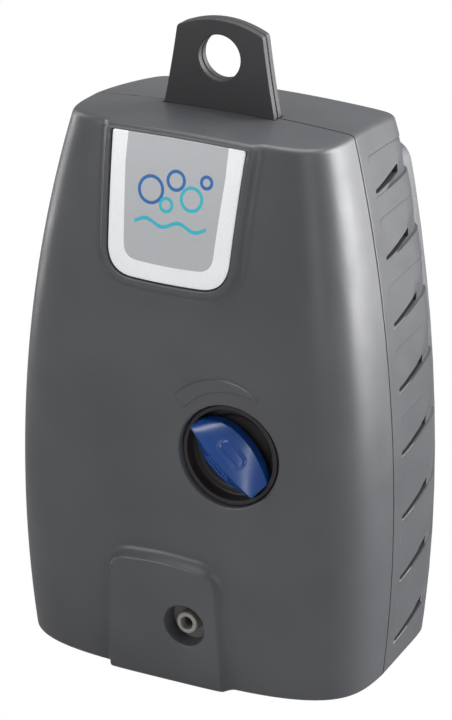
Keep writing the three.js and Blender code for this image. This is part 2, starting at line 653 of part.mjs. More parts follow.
const diaphragmClamp = () => cut(pumpBlock(DECK.chamberHigh + 0.1, 51.2), [
  upright(PUMP.x, PUMP.y, 40, 49.25, 13.7, 16),
  upright(PUMP.x, PUMP.y, 49, 60, 11.1, 16),
  ...headScrewHoles(),
]);

const pumpChamber = () => cut(pumpBlock(DECK.chamberLow, DECK.chamberHigh), [
  upright(PUMP.x, PUMP.y, 30, 60, 10.5, 16),
  ...headScrewHoles(),
]);

const portX = { intake: PUMP.x - 5.2, exhaust: PUMP.x + 5.2 };

const valvePlate = () => cut(pumpBlock(DECK.valveLow, DECK.valveHigh), [
  upright(portX.intake, PUMP.y, 30, 40, 1.7, 8),
  upright(portX.exhaust, PUMP.y, 30, 40, 1.7, 8),
  ...headScrewHoles(),
]);

// Each flap is hinged at its end nearest the side wall and lies over its port.
const intakeFlap = () => block(PUMP.x - FLAP.near - FLAP.length, PUMP.x - FLAP.near,
  PUMP.y - FLAP.half, PUMP.y + FLAP.half, DECK.valveHigh + 0.1, DECK.valveHigh + 0.1 + FLAP.thickness);

const exhaustFlap = () => block(PUMP.x + FLAP.near, PUMP.x + FLAP.near + FLAP.length,
  PUMP.y - FLAP.half, PUMP.y + FLAP.half, DECK.valveLow - 0.1 - FLAP.thickness, DECK.valveLow - 0.1);

function pumpHead() {
  const [y0, y1] = [PUMP.y - 9, PUMP.y + 9];
  const frontFace = PUMP.y - PUMP.half;
  const barb = turned([[0, -15.4], [2.1, -15.4], [2.5, -14.4], [2.5, frontFace + 1], [0, frontFace + 1]],
    [OUTLET.x, 0, OUTLET.z], 'y', 12);
  return cut(pumpBlock(DECK.headLow, DECK.headHigh).add(barb), [
    block(PUMP.x - 9.8, PUMP.x - 1.4, y0, y1, 25, 40),
    block(PUMP.x + 0.6, PUMP.x + 9.8, y0, y1, 18, 40),
    block(4.2, PUMP.x + 1, y0, y0 + 4, 18, 21.4),
    rod(OUTLET.x, OUTLET.z, -20, y0 + 2, 1.5, 12),
    turned([[0, -12], [2, -12], [2, 2], [0, 2]], [0, PUMP.y, 29.5], 'x', 8),
    ...headScrewHoles(),
    ...pumpScrewPlaces.map(([x, z]) => rod(x, z, PUMP.y + PUMP.half - 7, 30, 1.4, 8)),
  ]);
}

const headScrew = ([x, y]) => screw([x, y, 51.3], 'z', 2.5, 1.8, 1.2, -29);
const pumpScrew = ([x, z]) => screw([x, FRAME.y + FRAME.thickness + 0.1, z], 'y', 2.4, 1.8, 1.1, -7.5);

// ---------------------------------------------------------------- assembly

const pump = new THREE.Group();

function add(name, body, material) {
  const mesh = new THREE.Mesh(geometryOf(body), material);
  mesh.name = name;
  pump.add(mesh);
}

function addEach(name, places, make, material) {
  places.forEach((place, i) => add(`${name}_${i + 1}`, make(place), material));
}

add('front_cover', frontCover(), FINISH.casing);
add('rear_cover', rearCover(), FINISH.casing);
add('label_plate', labelPlate(), FINISH.label);
add('hanger_front_plate', hangerPlate(-1), FINISH.hanger);
add('hanger_rear_plate', hangerPlate(1), FINISH.hanger);
addEach('foot', FEET, foot, FINISH.rubber);
addEach('case_screw', CASE_SCREWS, caseScrew, FINISH.steel);

add('regulator_dish', regulatorDish(), FINISH.dish);
add('regulator_knob', regulatorKnob(), FINISH.knob);
add('regulator_shaft', regulatorShaft(), FINISH.nylon);
add('potentiometer', potentiometer(), FINISH.dark);
add('control_board', controlBoard(), FINISH.board);
add('capacitor', capacitor(), FINISH.dark);
addEach('board_screw', BOARD_POSTS, boardScrew, FINISH.steel);

add('outlet_nozzle', outletNozzle(), FINISH.dark);
add('outlet_hose', outletHose(), FINISH.silicone);
add('filter_cover', filterCover(), FINISH.casing);
add('filter_felt', filterFelt(), FINISH.felt);
add('strain_relief', strainRelief(), FINISH.rubber);
add('mains_cable', mainsCable(), FINISH.rubber);
add('mains_lead', mainsLead(), FINISH.dark);

add('motor_frame', motorFrame(), FINISH.nylon);
addEach('grommet', GROMMETS, grommet, FINISH.rubber);
addEach('frame_screw', GROMMETS, frameScrew, FINISH.steel);
add('core_laminations', coreLaminations(), FINISH.iron);
add('coil_bobbin', coilBobbin(), FINISH.nylon);
add('coil_winding', coilWinding(), FINISH.copper);
add('coil_lead', coilLead(), FINISH.dark);
addEach('core_screw', coreScrewPlaces,
  ([x, z]) => screw([x, CORE.frontY - 0.1, z], 'y', 2.6, 1.8, 1.2, 23), FINISH.steel);
add('pivot_pin', pivotPin(), FINISH.steel);
add('armature_arm', armatureArm(), FINISH.steel);
add('armature_magnet', armatureMagnet(), FINISH.magnet);

add('diaphragm', diaphragm(), FINISH.rubber);
add('diaphragm_plate', diaphragmPlate(), FINISH.nylon);
add('diaphragm_screw', diaphragmScrew(), FINISH.steel);
add('diaphragm_clamp', diaphragmClamp(), FINISH.nylon);
add('pump_chamber', pumpChamber(), FINISH.nylon);
add('valve_plate', valvePlate(), FINISH.nylon);
add('intake_flap', intakeFlap(), FINISH.silicone);
add('exhaust_flap', exhaustFlap(), FINISH.silicone);
add('pump_head', pumpHead(), FINISH.nylon);
addEach('head_screw', headScrewPlaces, headScrew, FINISH.steel);
addEach('pump_screw', pumpScrewPlaces, pumpScrew, FINISH.steel);

pump.position.y = -PARTING_TO_MIDDLE;

export default pump;
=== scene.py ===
"""Aquarium air pump: the visible pieces, finishes and studio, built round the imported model.

Lengths are in millimetres until a mesh is made, where they turn into metres. X runs to the right,
the front faces -Y and Z is up. Casing shapes are worked out in "casing Y", which is 0 in the
parting plane between the two shells.
"""

import json
import math

import bmesh
import bpy
import numpy as np
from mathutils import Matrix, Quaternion, Vector
from mathutils.geometry import delaunay_2d_cdt
from mathutils.kdtree import KDTree


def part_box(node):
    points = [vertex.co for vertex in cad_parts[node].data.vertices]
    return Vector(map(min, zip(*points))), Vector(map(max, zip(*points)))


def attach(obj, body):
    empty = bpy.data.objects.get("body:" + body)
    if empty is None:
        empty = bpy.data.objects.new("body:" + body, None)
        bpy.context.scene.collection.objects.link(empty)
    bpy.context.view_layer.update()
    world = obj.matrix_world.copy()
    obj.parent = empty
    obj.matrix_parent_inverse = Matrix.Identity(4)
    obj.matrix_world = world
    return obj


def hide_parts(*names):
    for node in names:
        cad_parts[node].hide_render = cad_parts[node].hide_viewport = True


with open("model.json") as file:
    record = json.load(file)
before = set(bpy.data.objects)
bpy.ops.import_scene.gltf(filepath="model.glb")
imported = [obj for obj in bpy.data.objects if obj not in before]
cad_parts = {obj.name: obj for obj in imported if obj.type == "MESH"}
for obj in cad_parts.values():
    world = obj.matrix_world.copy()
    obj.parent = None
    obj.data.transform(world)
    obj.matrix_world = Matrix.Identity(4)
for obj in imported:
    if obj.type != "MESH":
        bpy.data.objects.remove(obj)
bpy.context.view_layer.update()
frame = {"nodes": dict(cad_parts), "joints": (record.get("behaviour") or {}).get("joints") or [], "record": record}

MM = 0.001


def box_mm(node):
    """Lowest and highest corner of a CAD node, in millimetres."""
    low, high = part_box(node)
    return np.array(low) / MM, np.array(high) / MM


def centre_mm(node):
    low, high = box_mm(node)
    return (low + high) / 2


def joint_place(name):
    joint = next(j for j in frame["joints"] if j["name"] == name)
    return np.array(joint["pos_m"]) / MM


# ---------------------------------------------------------------- places taken from the frame

PARTING_Y = (box_mm("hanger_front_plate")[1][1] + box_mm("hanger_rear_plate")[0][1]) / 2
CASE_BOTTOM = box_mm("front_cover")[0][2]
CASE_TOP = box_mm("front_cover")[1][2]
CASE_HEIGHT = CASE_TOP - CASE_BOTTOM

KNOB_X, _, KNOB_Z = joint_place("regulator_turn")
KNOB_BACK = -23.7
RECESS_RADIUS = 12.5

NOZZLE_X, _, NOZZLE_Z = centre_mm("outlet_nozzle")
NOZZLE_TIP = box_mm("outlet_nozzle")[0][1] - PARTING_Y
OUTLET_HOLE_RADIUS = 5.3

PANEL_Y = box_mm("filter_cover")[1][1] - PARTING_Y
CASE_SCREWS = [centre_mm(f"case_screw_{k}") for k in (1, 2, 3, 4)]
FEET = [centre_mm(f"foot_{k}") for k in (1, 2, 3, 4)]
GROMMETS = [centre_mm(f"grommet_{k}") for k in (1, 2, 3, 4)]
CABLE_X, _, CABLE_Z = centre_mm("strain_relief")

# ---------------------------------------------------------------- the casing's driving sizes

BELLY_HEIGHT = 35
BELLY_HALF_WIDTH = 46.3
FRONT_DEPTH = 27.8
REAR_DEPTH = 31.8
REAR_DRAFT = 0.08
WALL = 2.0
SEAM_GAP = 0.4
SEAM_EDGE = 0.12         # rounding of the shells' edges at the seam
TOP_EDGE = 1.3           # rounding between the walls and the top face
BOTTOM_EDGE = 1.2
BOSS_RAISE = 1.9         # label surround above the front wall
LABEL_RAISE = 1.5        # face of the label plate above the front wall
POCKET_FLOOR = 0.6
LABEL_GROOVE = 0.32      # gap between the label and its surround
BORDER_WIDTH = 4.0       # silver border of the label
OUTLET_RAISE = 2.6
SCALE_RAISE = 0.3        # wedge-shaped scale above the knob


# ---------------------------------------------------------------- mesh helpers


def new_piece(name, points, faces, in_casing=True):
    """Object with a mesh in metres. Points are in millimetres, with casing Y unless told otherwise."""
    points = np.array(points, float).reshape(-1, 3)
    if in_casing:
        points = points + (0, PARTING_Y, 0)
    mesh = bpy.data.meshes.new(name)
    mesh.from_pydata((points * MM).tolist(), [], [list(map(int, face)) for face in faces])
    piece = bpy.data.objects.new(name, mesh)
    bpy.context.scene.collection.objects.link(piece)
    return piece


def face_outwards(piece):
    work = bmesh.new()
    work.from_mesh(piece.data)
    bmesh.ops.recalc_face_normals(work, faces=work.faces)
    work.to_mesh(piece.data)
    work.free()
    return piece


def ring_faces(count, rows):
    """Quads between successive closed rings of `count` points."""
    faces = []
    for row in range(rows - 1):
        for i in range(count):
            j = (i + 1) % count
            a, b = row * count + i, row * count + j
            faces.append((a, b, b + count, a + count))
    return faces


def ring_solid(name, rings, closed_loop=False, in_casing=True):
    """Closed body through equal rings of points: capped at both ends, or joined end to start."""
    count, rows = len(rings[0]), len(rings)
    points = np.concatenate([np.array(ring, float) for ring in rings])
    faces = ring_faces(count, rows)
    if closed_loop:
        last = (rows - 1) * count
        for i in range(count):
            j = (i + 1) % count
            faces.append((last + i, last + j, j, i))
    else:
        faces.append(tuple(range(count))[::-1])
        faces.append(tuple(range((rows - 1) * count, rows * count)))
    return face_outwards(new_piece(name, points, faces, in_casing))


def soften(points, radius, closed=False, steps=3):
    """Rounds the corners of a polyline. `radius` is one number, or one for each point."""
    points = [np.array(p, float) for p in points]
    radii = [radius] * len(points) if np.isscalar(radius) else radius
    count = len(points)
    out = []
    for i, point in enumerate(points):
        open_end = not closed and i in (0, count - 1)
        before, after = points[i - 1], points[(i + 1) % count]
        reach = min(radii[i], 0.48 * np.linalg.norm(before - point), 0.48 * np.linalg.norm(after - point))
        if open_end or reach < 1e-6:
            out.append(point)
            continue
        start = point + (before - point) / np.linalg.norm(before - point) * reach
        end = point + (after - point) / np.linalg.norm(after - point) * reach
        for k in range(steps + 1):
            t = k / steps
            out.append((1 - t) ** 2 * start + 2 * t * (1 - t) * point + t * t * end)
    return out


def without_flat_end(profile):
    """Drops an axis point that only closes a flat end, which one polygon caps instead."""
    flat = profile[0][0] < 1e-6 and abs(profile[0][1] - profile[1][1]) < 1e-6
    return profile[1:] if flat else profile


def lathe(name, profile, at, axis="y", segments=64, edge=0.15, in_casing=True):
    """Body of revolution. The profile holds (radius, distance along the axis) corner points."""
    closed = profile[0][0] > 0
    profile = soften(profile, edge, closed)
    if not closed:
        profile = without_flat_end(without_flat_end(profile)[::-1])[::-1]
    angles = np.linspace(0, 2 * math.pi, segments, endpoint=False)
    cos, sin = np.cos(angles), np.sin(angles)
    rings = []
    for radius, along in profile:
        radius = max(radius, 1e-3)
        if axis == "y":
            ring = np.stack([at[0] + radius * cos, at[1] + 0 * cos + along, at[2] + radius * sin], 1)
        elif axis == "z":
            ring = np.stack([at[0] + radius * cos, at[1] + radius * sin, at[2] + 0 * cos + along], 1)
        else:
            ring = np.stack([at[0] + 0 * cos + along, at[1] + radius * cos, at[2] + radius * sin], 1)
        rings.append(ring)
    return ring_solid(name, rings, closed, in_casing)


def offset_outline(outline, distance):
    """Closed outline moved outwards by `distance`. Outlines run anticlockwise."""
    ahead = np.roll(outline, -1, axis=0) - outline
    behind = outline - np.roll(outline, 1, axis=0)
    ahead /= np.linalg.norm(ahead, axis=1)[:, None]
    behind /= np.linalg.norm(behind, axis=1)[:, None]
    normal_a = np.stack([ahead[:, 1], -ahead[:, 0]], 1)
    normal_b = np.stack([behind[:, 1], -behind[:, 0]], 1)
    normal = normal_a + normal_b
    normal /= np.linalg.norm(normal, axis=1)[:, None]
    stretch = 1 / np.clip((normal * normal_a).sum(1), 0.5, 1)
    return outline + normal * (stretch * distance)[:, None]


def anticlockwise(points):
    outline = np.array(points, float)
    x, z = outline[:, 0], outline[:, 1]
    area = (x * np.roll(z, -1) - np.roll(x, -1) * z).sum()
    return outline if area > 0 else outline[::-1]


def resample(outline, spacing):
    """Closed outline with extra points where its stretches are longer than `spacing`."""
    out = []
    for a, b in zip(outline, np.roll(outline, -1, axis=0)):
        steps = max(1, int(np.linalg.norm(b - a) / spacing + 0.5))
        out += [a + (b - a) * k / steps for k in range(steps)]
    return np.array(out)


def circle(x, z, radius, count=96):
    angles = np.linspace(0, 2 * math.pi, count, endpoint=False)
    return np.stack([x + radius * np.cos(angles), z + radius * np.sin(angles)], 1)


def rounded_box(x0, x1, z0, z1, radius, steps=4):
    corners = [(x0, z0), (x1, z0), (x1, z1), (x0, z1)]
    return anticlockwise(soften(corners, radius, closed=True, steps=steps))


def prism(name, outline, y0, y1, edge=0.0, steps=3, in_casing=True):
    """XZ outline drawn out along Y. A positive edge rounds both ends, a negative one flares them."""
    outline = anticlockwise(outline)
    if edge == 0:
        levels = [(y0, 0), (y1, 0)]
    else:
        turn = [math.pi / 2 * k / steps for k in range(steps + 1)]
        size = abs(edge)
        near = [(y0 + size * (1 - math.sin(t)), -edge * (1 - math.cos(t))) for t in turn[::-1]]
        far = [(y1 - size * (1 - math.sin(t)), -edge * (1 - math.cos(t))) for t in turn]
        levels = near + far
    rings = []
    for y, grow in levels:
        ring = offset_outline(outline, grow) if grow else outline
        rings.append(np.stack([ring[:, 0], np.full(len(ring), y), ring[:, 1]], 1))
    return ring_solid(name, rings, in_casing=in_casing)


def box_solid(name, x0, x1, y0, y1, z0, z1, edge=0.0):
    return prism(name, rounded_box(x0, x1, z0, z1, max(edge, 0.01), 2), y0, y1, edge)


def apply_modifiers(piece):
    bpy.context.view_layer.update()
    graph = bpy.context.evaluated_depsgraph_get()
    mesh = bpy.data.meshes.new_from_object(piece.evaluated_get(graph))
    piece.modifiers.clear()
    piece.data = mesh
    return piece


def gather(tools):
    """One object that holds all the tools' meshes. The tools stay clear of each other."""
    work = bmesh.new()
    for tool in tools:
        work.from_mesh(tool.data)
    work.to_mesh(tools[0].data)
    work.free()
    for tool in tools[1:]:
        bpy.data.objects.remove(tool)
    return tools[0]


def combine(piece, operation, tools):
    """Applies UNION, DIFFERENCE or INTERSECT with tools that stay clear of each other."""
    tool = gather(tools)
    step = piece.modifiers.new("step", "BOOLEAN")
    step.operation = operation
    step.solver = "MANIFOLD"
    step.object = tool
    apply_modifiers(piece)
    bpy.data.objects.remove(tool)
    return piece


def shade(piece, angle=32):
    """Smooth shading that stays sharp at edges steeper than `angle`, weighted by face area."""
    piece.data.shade_smooth()
    piece.data.set_sharp_from_angle(angle=math.radians(angle))
    weighted = piece.modifiers.new("weighted", "WEIGHTED_NORMAL")
    weighted.keep_sharp = True
    weighted.weight = 60
    return apply_modifiers(piece)


def dress(piece, body, materials, replaced=()):
    """Gives a finished piece its body and materials, and hides the CAD nodes it stands for."""
    shade(piece)
    piece.data.materials.clear()
    for material in materials:
        piece.data.materials.append(material)
    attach(piece, body)
    if replaced:
        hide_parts(*replaced)
    return piece


# ---------------------------------------------------------------- the casing's outer surface


def half_width(height):
    return BELLY_HALF_WIDTH - np.where(height > BELLY_HEIGHT, 0.00125, 0.0015) * (height - BELLY_HEIGHT) ** 2


def front_depth(height):
    return FRONT_DEPTH - np.where(height > 62, 0.00156, 0.00096) * (height - 62) ** 2


def rear_depth(height):
    return REAR_DEPTH - 0.0004 * (height - 50) ** 2


def top_drop(x, y):
    """How far the top face lies below its highest point: crowned across, falling to the rear."""
    return 1.4 * (x / 33.6) ** 2 + 3.5 * (np.maximum(y, 0) / 30) ** 1.5


class Half:
    """One shell's outer wall as a sheet over (q, z). Its plan is a superellipse. Going outwards
    from the middle, q crosses a core where x = q, the rest of the face, then the side wall."""

    def __init__(self, sign, depth, exponent, draft, core, face, side):
        self.sign, self.depth, self.exponent, self.draft = sign, depth, exponent, draft
        self.core, self.face, self.side = core, face, side
        self.edge_q = core + face + side

    def sizes(self, z):
        height = np.asarray(z, float) - CASE_BOTTOM
        exponent = self.exponent(height)
        return half_width(height), self.depth(height), exponent, 2 ** (-1 / exponent)

    def plan(self, q, z):
        w, d, n, corner = self.sizes(z)
        a = np.abs(q)
        reach = (corner * w - self.core) / self.face
        x_face = np.where(a <= self.core, a, self.core + reach * (a - self.core))
        u_face = np.clip(x_face / w, 0, 1)
        v_face = (1 - u_face ** n) ** (1 / n)
        share = np.clip((a - self.core - self.face) / self.side, 0, 1)
        v_side = corner + (SEAM_GAP / 2 / d - corner) * share
        u_side = (1 - v_side ** n) ** (1 / n)
        on_side = share > 0
        u = np.where(on_side, u_side, u_face)
        y = d * np.where(on_side, v_side, v_face)
        return np.sign(q) * (w - self.draft * y) * u, self.sign * y

    def point(self, q, z):
        x, y = self.plan(q, z)
        bend = ((z - CASE_BOTTOM) / CASE_HEIGHT) ** 8
        return np.stack([x, y, z - top_drop(x, y) * bend], -1)

    def normal(self, q, z):
        step = 0.05
        q0, q1 = np.clip(q - step, -self.edge_q, self.edge_q), np.clip(q + step, -self.edge_q, self.edge_q)
        across = self.point(q1, z) - self.point(q0, z)
        up = self.point(q, z + step) - self.point(q, z - step)
        normal = np.cross(across, up) * -self.sign
        normal /= np.linalg.norm(normal, axis=-1)[..., None]
        return normal

    def q_of_x(self, x, z):
        """q of a place on the face, from its x."""
        w, d, _, corner = self.sizes(z)
        a = np.abs(x) * w / (w - self.draft * d)
        reach = (corner * w - self.core) / self.face
        return np.sign(x) * np.where(a <= self.core, a, self.core + (a - self.core) / reach)

    def q_of_y(self, y, z):
        """q of a place on the right-hand side wall, from its distance to the parting plane."""
        _, d, _, corner = self.sizes(z)
        share = (y / d - corner) / (SEAM_GAP / 2 / d - corner)
        return self.core + self.face + self.side * share


FRONT = Half(-1, front_depth, lambda h: 3.4 + 0.6 * h / CASE_HEIGHT, 0, core=24, face=13.5, side=24)
REAR = Half(1, rear_depth, lambda h: 16 + 0 * h, REAR_DRAFT, core=0, face=44, side=30)


# ---------------------------------------------------------------- features as distances to outlines


def outline_distance(points, outline):
    """Distance from each (x, z) point to a closed outline, negative inside it."""
    points = np.asarray(points, float)
    best = np.full(len(points), 1e9)
    inside = np.zeros(len(points), bool)
    for a, b in zip(outline, np.roll(outline, -1, axis=0)):
        ab, ap = b - a, points - a
        t = np.clip((ap @ ab) / (ab @ ab), 0, 1)
        best = np.minimum(best, np.linalg.norm(ap - t[:, None] * ab, axis=1))
        crosses = (a[1] > points[:, 1]) != (b[1] > points[:, 1])
        if a[1] != b[1]:
            cut_x = a[0] + (points[:, 1] - a[1]) / (b[1] - a[1]) * (b[0] - a[0])
            inside ^= crosses & (points[:, 0] < cut_x)
    return np.where(inside, -best, best)


def edge_drop(distance, radius):
    """How far a rounded edge falls at a distance from the corner's line."""
    s = np.clip(distance, 0, radius)
    return radius - np.sqrt(radius ** 2 - (radius - s) ** 2)


def fillet_height(distance, raise_by, flank, convex=0.25):
    """Raised inside the outline, then falling along a hollow flank that meets the wall smoothly."""
    s = 0.5 * (distance + np.sqrt(distance ** 2 + convex ** 2))
    return raise_by * (1 - np.clip(s / flank, 0, 1)) ** 2


def label_outline(grow):
    """Shield that widens upwards, with two rounded lower corners and a bottom edge that sags."""
    top_half, bottom_half = 17 + grow, 15.3 + grow
    bottom, top = 104.0 - grow, CASE_TOP - 1.7 + grow
    corner = 6.5 + 0.8 * grow
    points = [(-top_half, top), (-bottom_half, bottom), (0, bottom), (bottom_half, bottom), (top_half, top)]
    outline = anticlockwise(soften(points, [0.8, corner, 0, corner, 0.8], closed=True, steps=10))
    outline = resample(outline, 0.7)
    sag = 0.8 * (1 - (outline[:, 0] / (bottom_half + 2)) ** 2)
    outline[:, 1] -= sag * (top - outline[:, 1]) / (top - bottom)
    return outline


def surround_outline():
    """Outer edge of the label surround's face. It runs off the top of the casing."""
    outline = label_outline(1.65)
    outline[:, 1] = np.where(outline[:, 1] > CASE_TOP - 3, outline[:, 1] + 8, outline[:, 1])
    return resample(outline, 0.7)


def outlet_outline():
    """Edge of the outlet panel's face, an upright arch that runs off the bottom of the casing."""
    points = [(-15.3, -6), (15.3, -6), (13.75, 34.0), (0, 35.2), (-13.75, 34.0)]
    return resample(anticlockwise(soften(points, [0, 0, 5, 6, 5], closed=True, steps=10)), 0.7)


def scale_outline():
    """Wedge that starts wide at the left and runs out to a point over the knob's right."""
    turn = np.radians(np.linspace(-47, 26, 30))
    share = (turn - turn[0]) / (turn[-1] - turn[0])
    outer = 18.75 + 0.2 * np.sin(math.pi * share) - 2.0 * share ** 3
    inner = 15.2 + 1.2 * share
    over = np.stack([KNOB_X + outer * np.sin(turn), KNOB_Z + outer * np.cos(turn)], 1)
    under = np.stack([KNOB_X + inner * np.sin(turn), KNOB_Z + inner * np.cos(turn)], 1)
    return resample(anticlockwise(np.concatenate([over, under[::-1]])), 0.6)


KNOB_HOLE = circle(KNOB_X, KNOB_Z, RECESS_RADIUS, 120)
OUTLET_HOLE = circle(NOZZLE_X, NOZZLE_Z, OUTLET_HOLE_RADIUS, 64)
SURROUND = surround_outline()
POCKET = label_outline(LABEL_GROOVE)
OUTLET_PANEL = outlet_outline()
SCALE = scale_outline()
SURROUND_FLANK, OUTLET_FLANK = 2.4, 2.2
POCKET_LIP, KNOB_LIP, OUTLET_LIP = 0.3, 0.55, 0.35


def hole_lip(distance, radius):
    """Depth of a hole's rounded lip. Inside the hole the sheet dives, so that the cut is clean."""
    return np.where(distance > 0, edge_drop(distance, radius), radius + np.clip(-distance, 0, 0.4) * 5)


def front_relief(x, z):
    """Height of the front shell's raised and sunk features above its plain wall."""
    spots = np.stack([x, z], 1)
    surround = fillet_height(outline_distance(spots, SURROUND), BOSS_RAISE, SURROUND_FLANK)
    panel = fillet_height(outline_distance(spots, OUTLET_PANEL), OUTLET_RAISE, OUTLET_FLANK)
    height = np.maximum(surround, panel)
    pocket = outline_distance(spots, POCKET)
    height = np.where(pocket < -0.01, POCKET_FLOOR, height - edge_drop(np.maximum(pocket, 0), POCKET_LIP))
    wedge = outline_distance(spots, SCALE)
    height = height + SCALE_RAISE * np.clip(0.5 - wedge / 0.2, 0, 1)
    height = height - hole_lip(outline_distance(spots, KNOB_HOLE), KNOB_LIP)
    return height - hole_lip(outline_distance(spots, OUTLET_HOLE), OUTLET_LIP)


def front_rings():
    """Closed outlines in (x, z) that the front sheet's edges follow."""
    flank = (-0.5, -0.22, -0.06, 0.1, 0.26, 0.45, 0.75, 1.1, 1.6, 2.1)
    rings = [offset_outline(SURROUND, d) for d in flank + (SURROUND_FLANK + 0.15,)]
    rings += [offset_outline(OUTLET_PANEL, d) for d in flank + (OUTLET_FLANK + 0.25,)]
    rings += [offset_outline(POCKET, d) for d in (-0.05, -0.02, 0, 0.04, 0.1, 0.18, 0.3)]
    rings += [offset_outline(SCALE, d) for d in (-0.11, 0.11)]
    rings += [circle(KNOB_X, KNOB_Z, RECESS_RADIUS + d, 120) for d in (-0.4, 0, 0.06, 0.16, 0.33, 0.56)]
    rings += [circle(NOZZLE_X, NOZZLE_Z, OUTLET_HOLE_RADIUS + d, 64) for d in (-0.4, 0, 0.05, 0.13, 0.36)]
    return rings


# The rear shell's side louvres. Each slot rises to the rear along a hollow curve, and the wall above
# it sinks towards it.
LOUVRE_HEIGHTS = (6.9, 23.1, 38.9, 55.1, 70.9, 86.8, 102.7, 118.3)
PAD_TOPS = (18.2, 35.1, 49.8, 64.5, 81.4, 97.0, 113.0, 128.4)
LOUVRE_FRONT = 6.0
PAD_FRONT = 5.4
PAD_SINK = 0.18
SLOT_SINK = 0.5


def louvre(k):
    """(height at the front, rise to the rear end, Y of the rear end, top of the pad above it)."""
    share = k / (len(LOUVRE_HEIGHTS) - 1)
    return LOUVRE_HEIGHTS[k], 2.8 - 2.0 * share, 24.0 - 3.0 * share, PAD_TOPS[k]


def slot_height(k, y):
    low, rise, back, _ = louvre(k)
    share = np.clip((y - LOUVRE_FRONT) / (back - LOUVRE_FRONT), 0, 1.6)
    return CASE_BOTTOM + low + rise * share ** 1.7


def crease_height(k, y):
    """The curved crease from the pad's upper rear corner down to the middle of the slot."""
    _, _, back, top = louvre(k)
    start = LOUVRE_FRONT + 0.35 * (back - LOUVRE_FRONT)
    share = np.clip((y - start) / (30.5 - start), 0, 1)
    return slot_height(k, y) + (CASE_BOTTOM + top - slot_height(k, y)) * share ** 1.5


def rear_relief(y, z):
    """How far the side wall stands back at each place, as a negative height."""
    height = np.zeros(len(y))
    for k in range(len(LOUVRE_HEIGHTS)):
        _, _, _, top = louvre(k)
        bottom = slot_height(k, y)
        ceiling = CASE_BOTTOM + top + 0.02 * (y - PAD_FRONT)
        inside = np.minimum.reduce([z - bottom, ceiling - z, y - PAD_FRONT])
        pad = PAD_SINK * np.clip(inside / 0.25 + 0.5, 0, 1)
        crease = crease_height(k, y)
        span = np.maximum(crease - bottom, 0.5)
        deep = SLOT_SINK * np.clip((crease - z) / span, 0, 1) * np.clip((z - bottom) / 0.15 + 0.5, 0, 1)
        height = np.where((z > bottom - 0.3) & (z < ceiling + 0.3), height - pad - deep, height)
    return height


def rear_lines():
    """Open lines in (y, z) that the rear sheet's edges follow on the side walls."""
    lines = []
    for k in range(len(LOUVRE_HEIGHTS)):
        _, _, back, top = louvre(k)
        ys = np.arange(PAD_FRONT + 0.3, 30.2, 0.7)
        for shift in (-0.14, 0.0, 0.14):
            lines.append(np.stack([ys, slot_height(k, ys) + shift], 1))
            lines.append(np.stack([ys, CASE_BOTTOM + top + 0.02 * (ys - PAD_FRONT) + shift], 1))
        zs = np.arange(slot_height(k, PAD_FRONT) + 0.5, CASE_BOTTOM + top - 0.4, 0.8)
        for shift in (-0.14, 0.14):
            lines.append(np.stack([PAD_FRONT + shift + 0 * zs, zs], 1))
        crease_ys = ys[ys > LOUVRE_FRONT + 0.36 * (back - LOUVRE_FRONT)]
        lines.append(np.stack([crease_ys, crease_height(k, crease_ys)], 1))
    return lines


# ---------------------------------------------------------------- sheets to closed half shells


def relief(half, x, y, z):
    if half is FRONT:
        return front_relief(x, z)
    return np.where(np.abs(y) < 31.5, rear_relief(np.abs(y), z), 0.0)


def half_point(half, q, z):
    """Points of the finished outer surface: features and rounded edges included."""
    base = half.point(q, z)
    side = np.clip(half.edge_q - np.abs(q), 0, None)
    inset = np.maximum.reduce([
        edge_drop(CASE_TOP - z, TOP_EDGE),
        edge_drop(z - CASE_BOTTOM, BOTTOM_EDGE),
        edge_drop(side, SEAM_EDGE),
    ])
    height = relief(half, base[:, 0], base[:, 1], z)
    out = base + half.normal(q, z) * (height - inset)[:, None]
    out[:, 1] = half.sign * np.maximum(np.abs(out[:, 1]), SEAM_GAP / 2)
    bend = ((z - CASE_BOTTOM) / CASE_HEIGHT) ** 8
    out[:, 2] = np.where(z > CASE_TOP - 3, z - top_drop(out[:, 0], out[:, 1]) * bend, out[:, 2])
    out[:, 2] = np.where(z < CASE_BOTTOM + 2, z, out[:, 2])
    return out


def feature_lines(half):
    """Polylines in (q, z), each with a flag that says whether it closes on itself."""
    lines = []
    if half is FRONT:
        for ring in front_rings():
            lines.append((np.stack([half.q_of_x(ring[:, 0], ring[:, 1]), ring[:, 1]], 1), True))
        return lines
    for line in rear_lines():
        q = half.q_of_y(line[:, 0], line[:, 1])
        for side in (-1, 1):
            lines.append((np.stack([side * q, line[:, 1]], 1), False))
    return lines


def sheet_columns(half):
    """q of the base grid's columns: close together round the corners and at the seam."""
    corner = half.core + half.face
    if half is FRONT:
        inner = list(np.arange(0, 26, 1.3)) + list(np.arange(26, half.edge_q - 1, 0.9))
    else:
        inner = list(np.arange(0, corner - 4, 1.8)) + list(np.arange(corner - 4, corner + 3, 0.3))
        inner += list(np.arange(corner + 3, half.edge_q - 1, 1.0))
    right = np.array(inner + [half.edge_q - 0.4, half.edge_q - SEAM_EDGE, half.edge_q - 0.03, half.edge_q])
    return np.concatenate([-right[:0:-1], right])


def far_from(grid, lines, gap):
    tree = KDTree(sum(len(line) for line, _ in lines))
    index = 0
    for line, _ in lines:
        for q, z in line:
            tree.insert((q, z, 0), index)
            index += 1
    tree.balance()
    return [p for p in grid if tree.find((p[0], p[1], 0))[2] > gap]


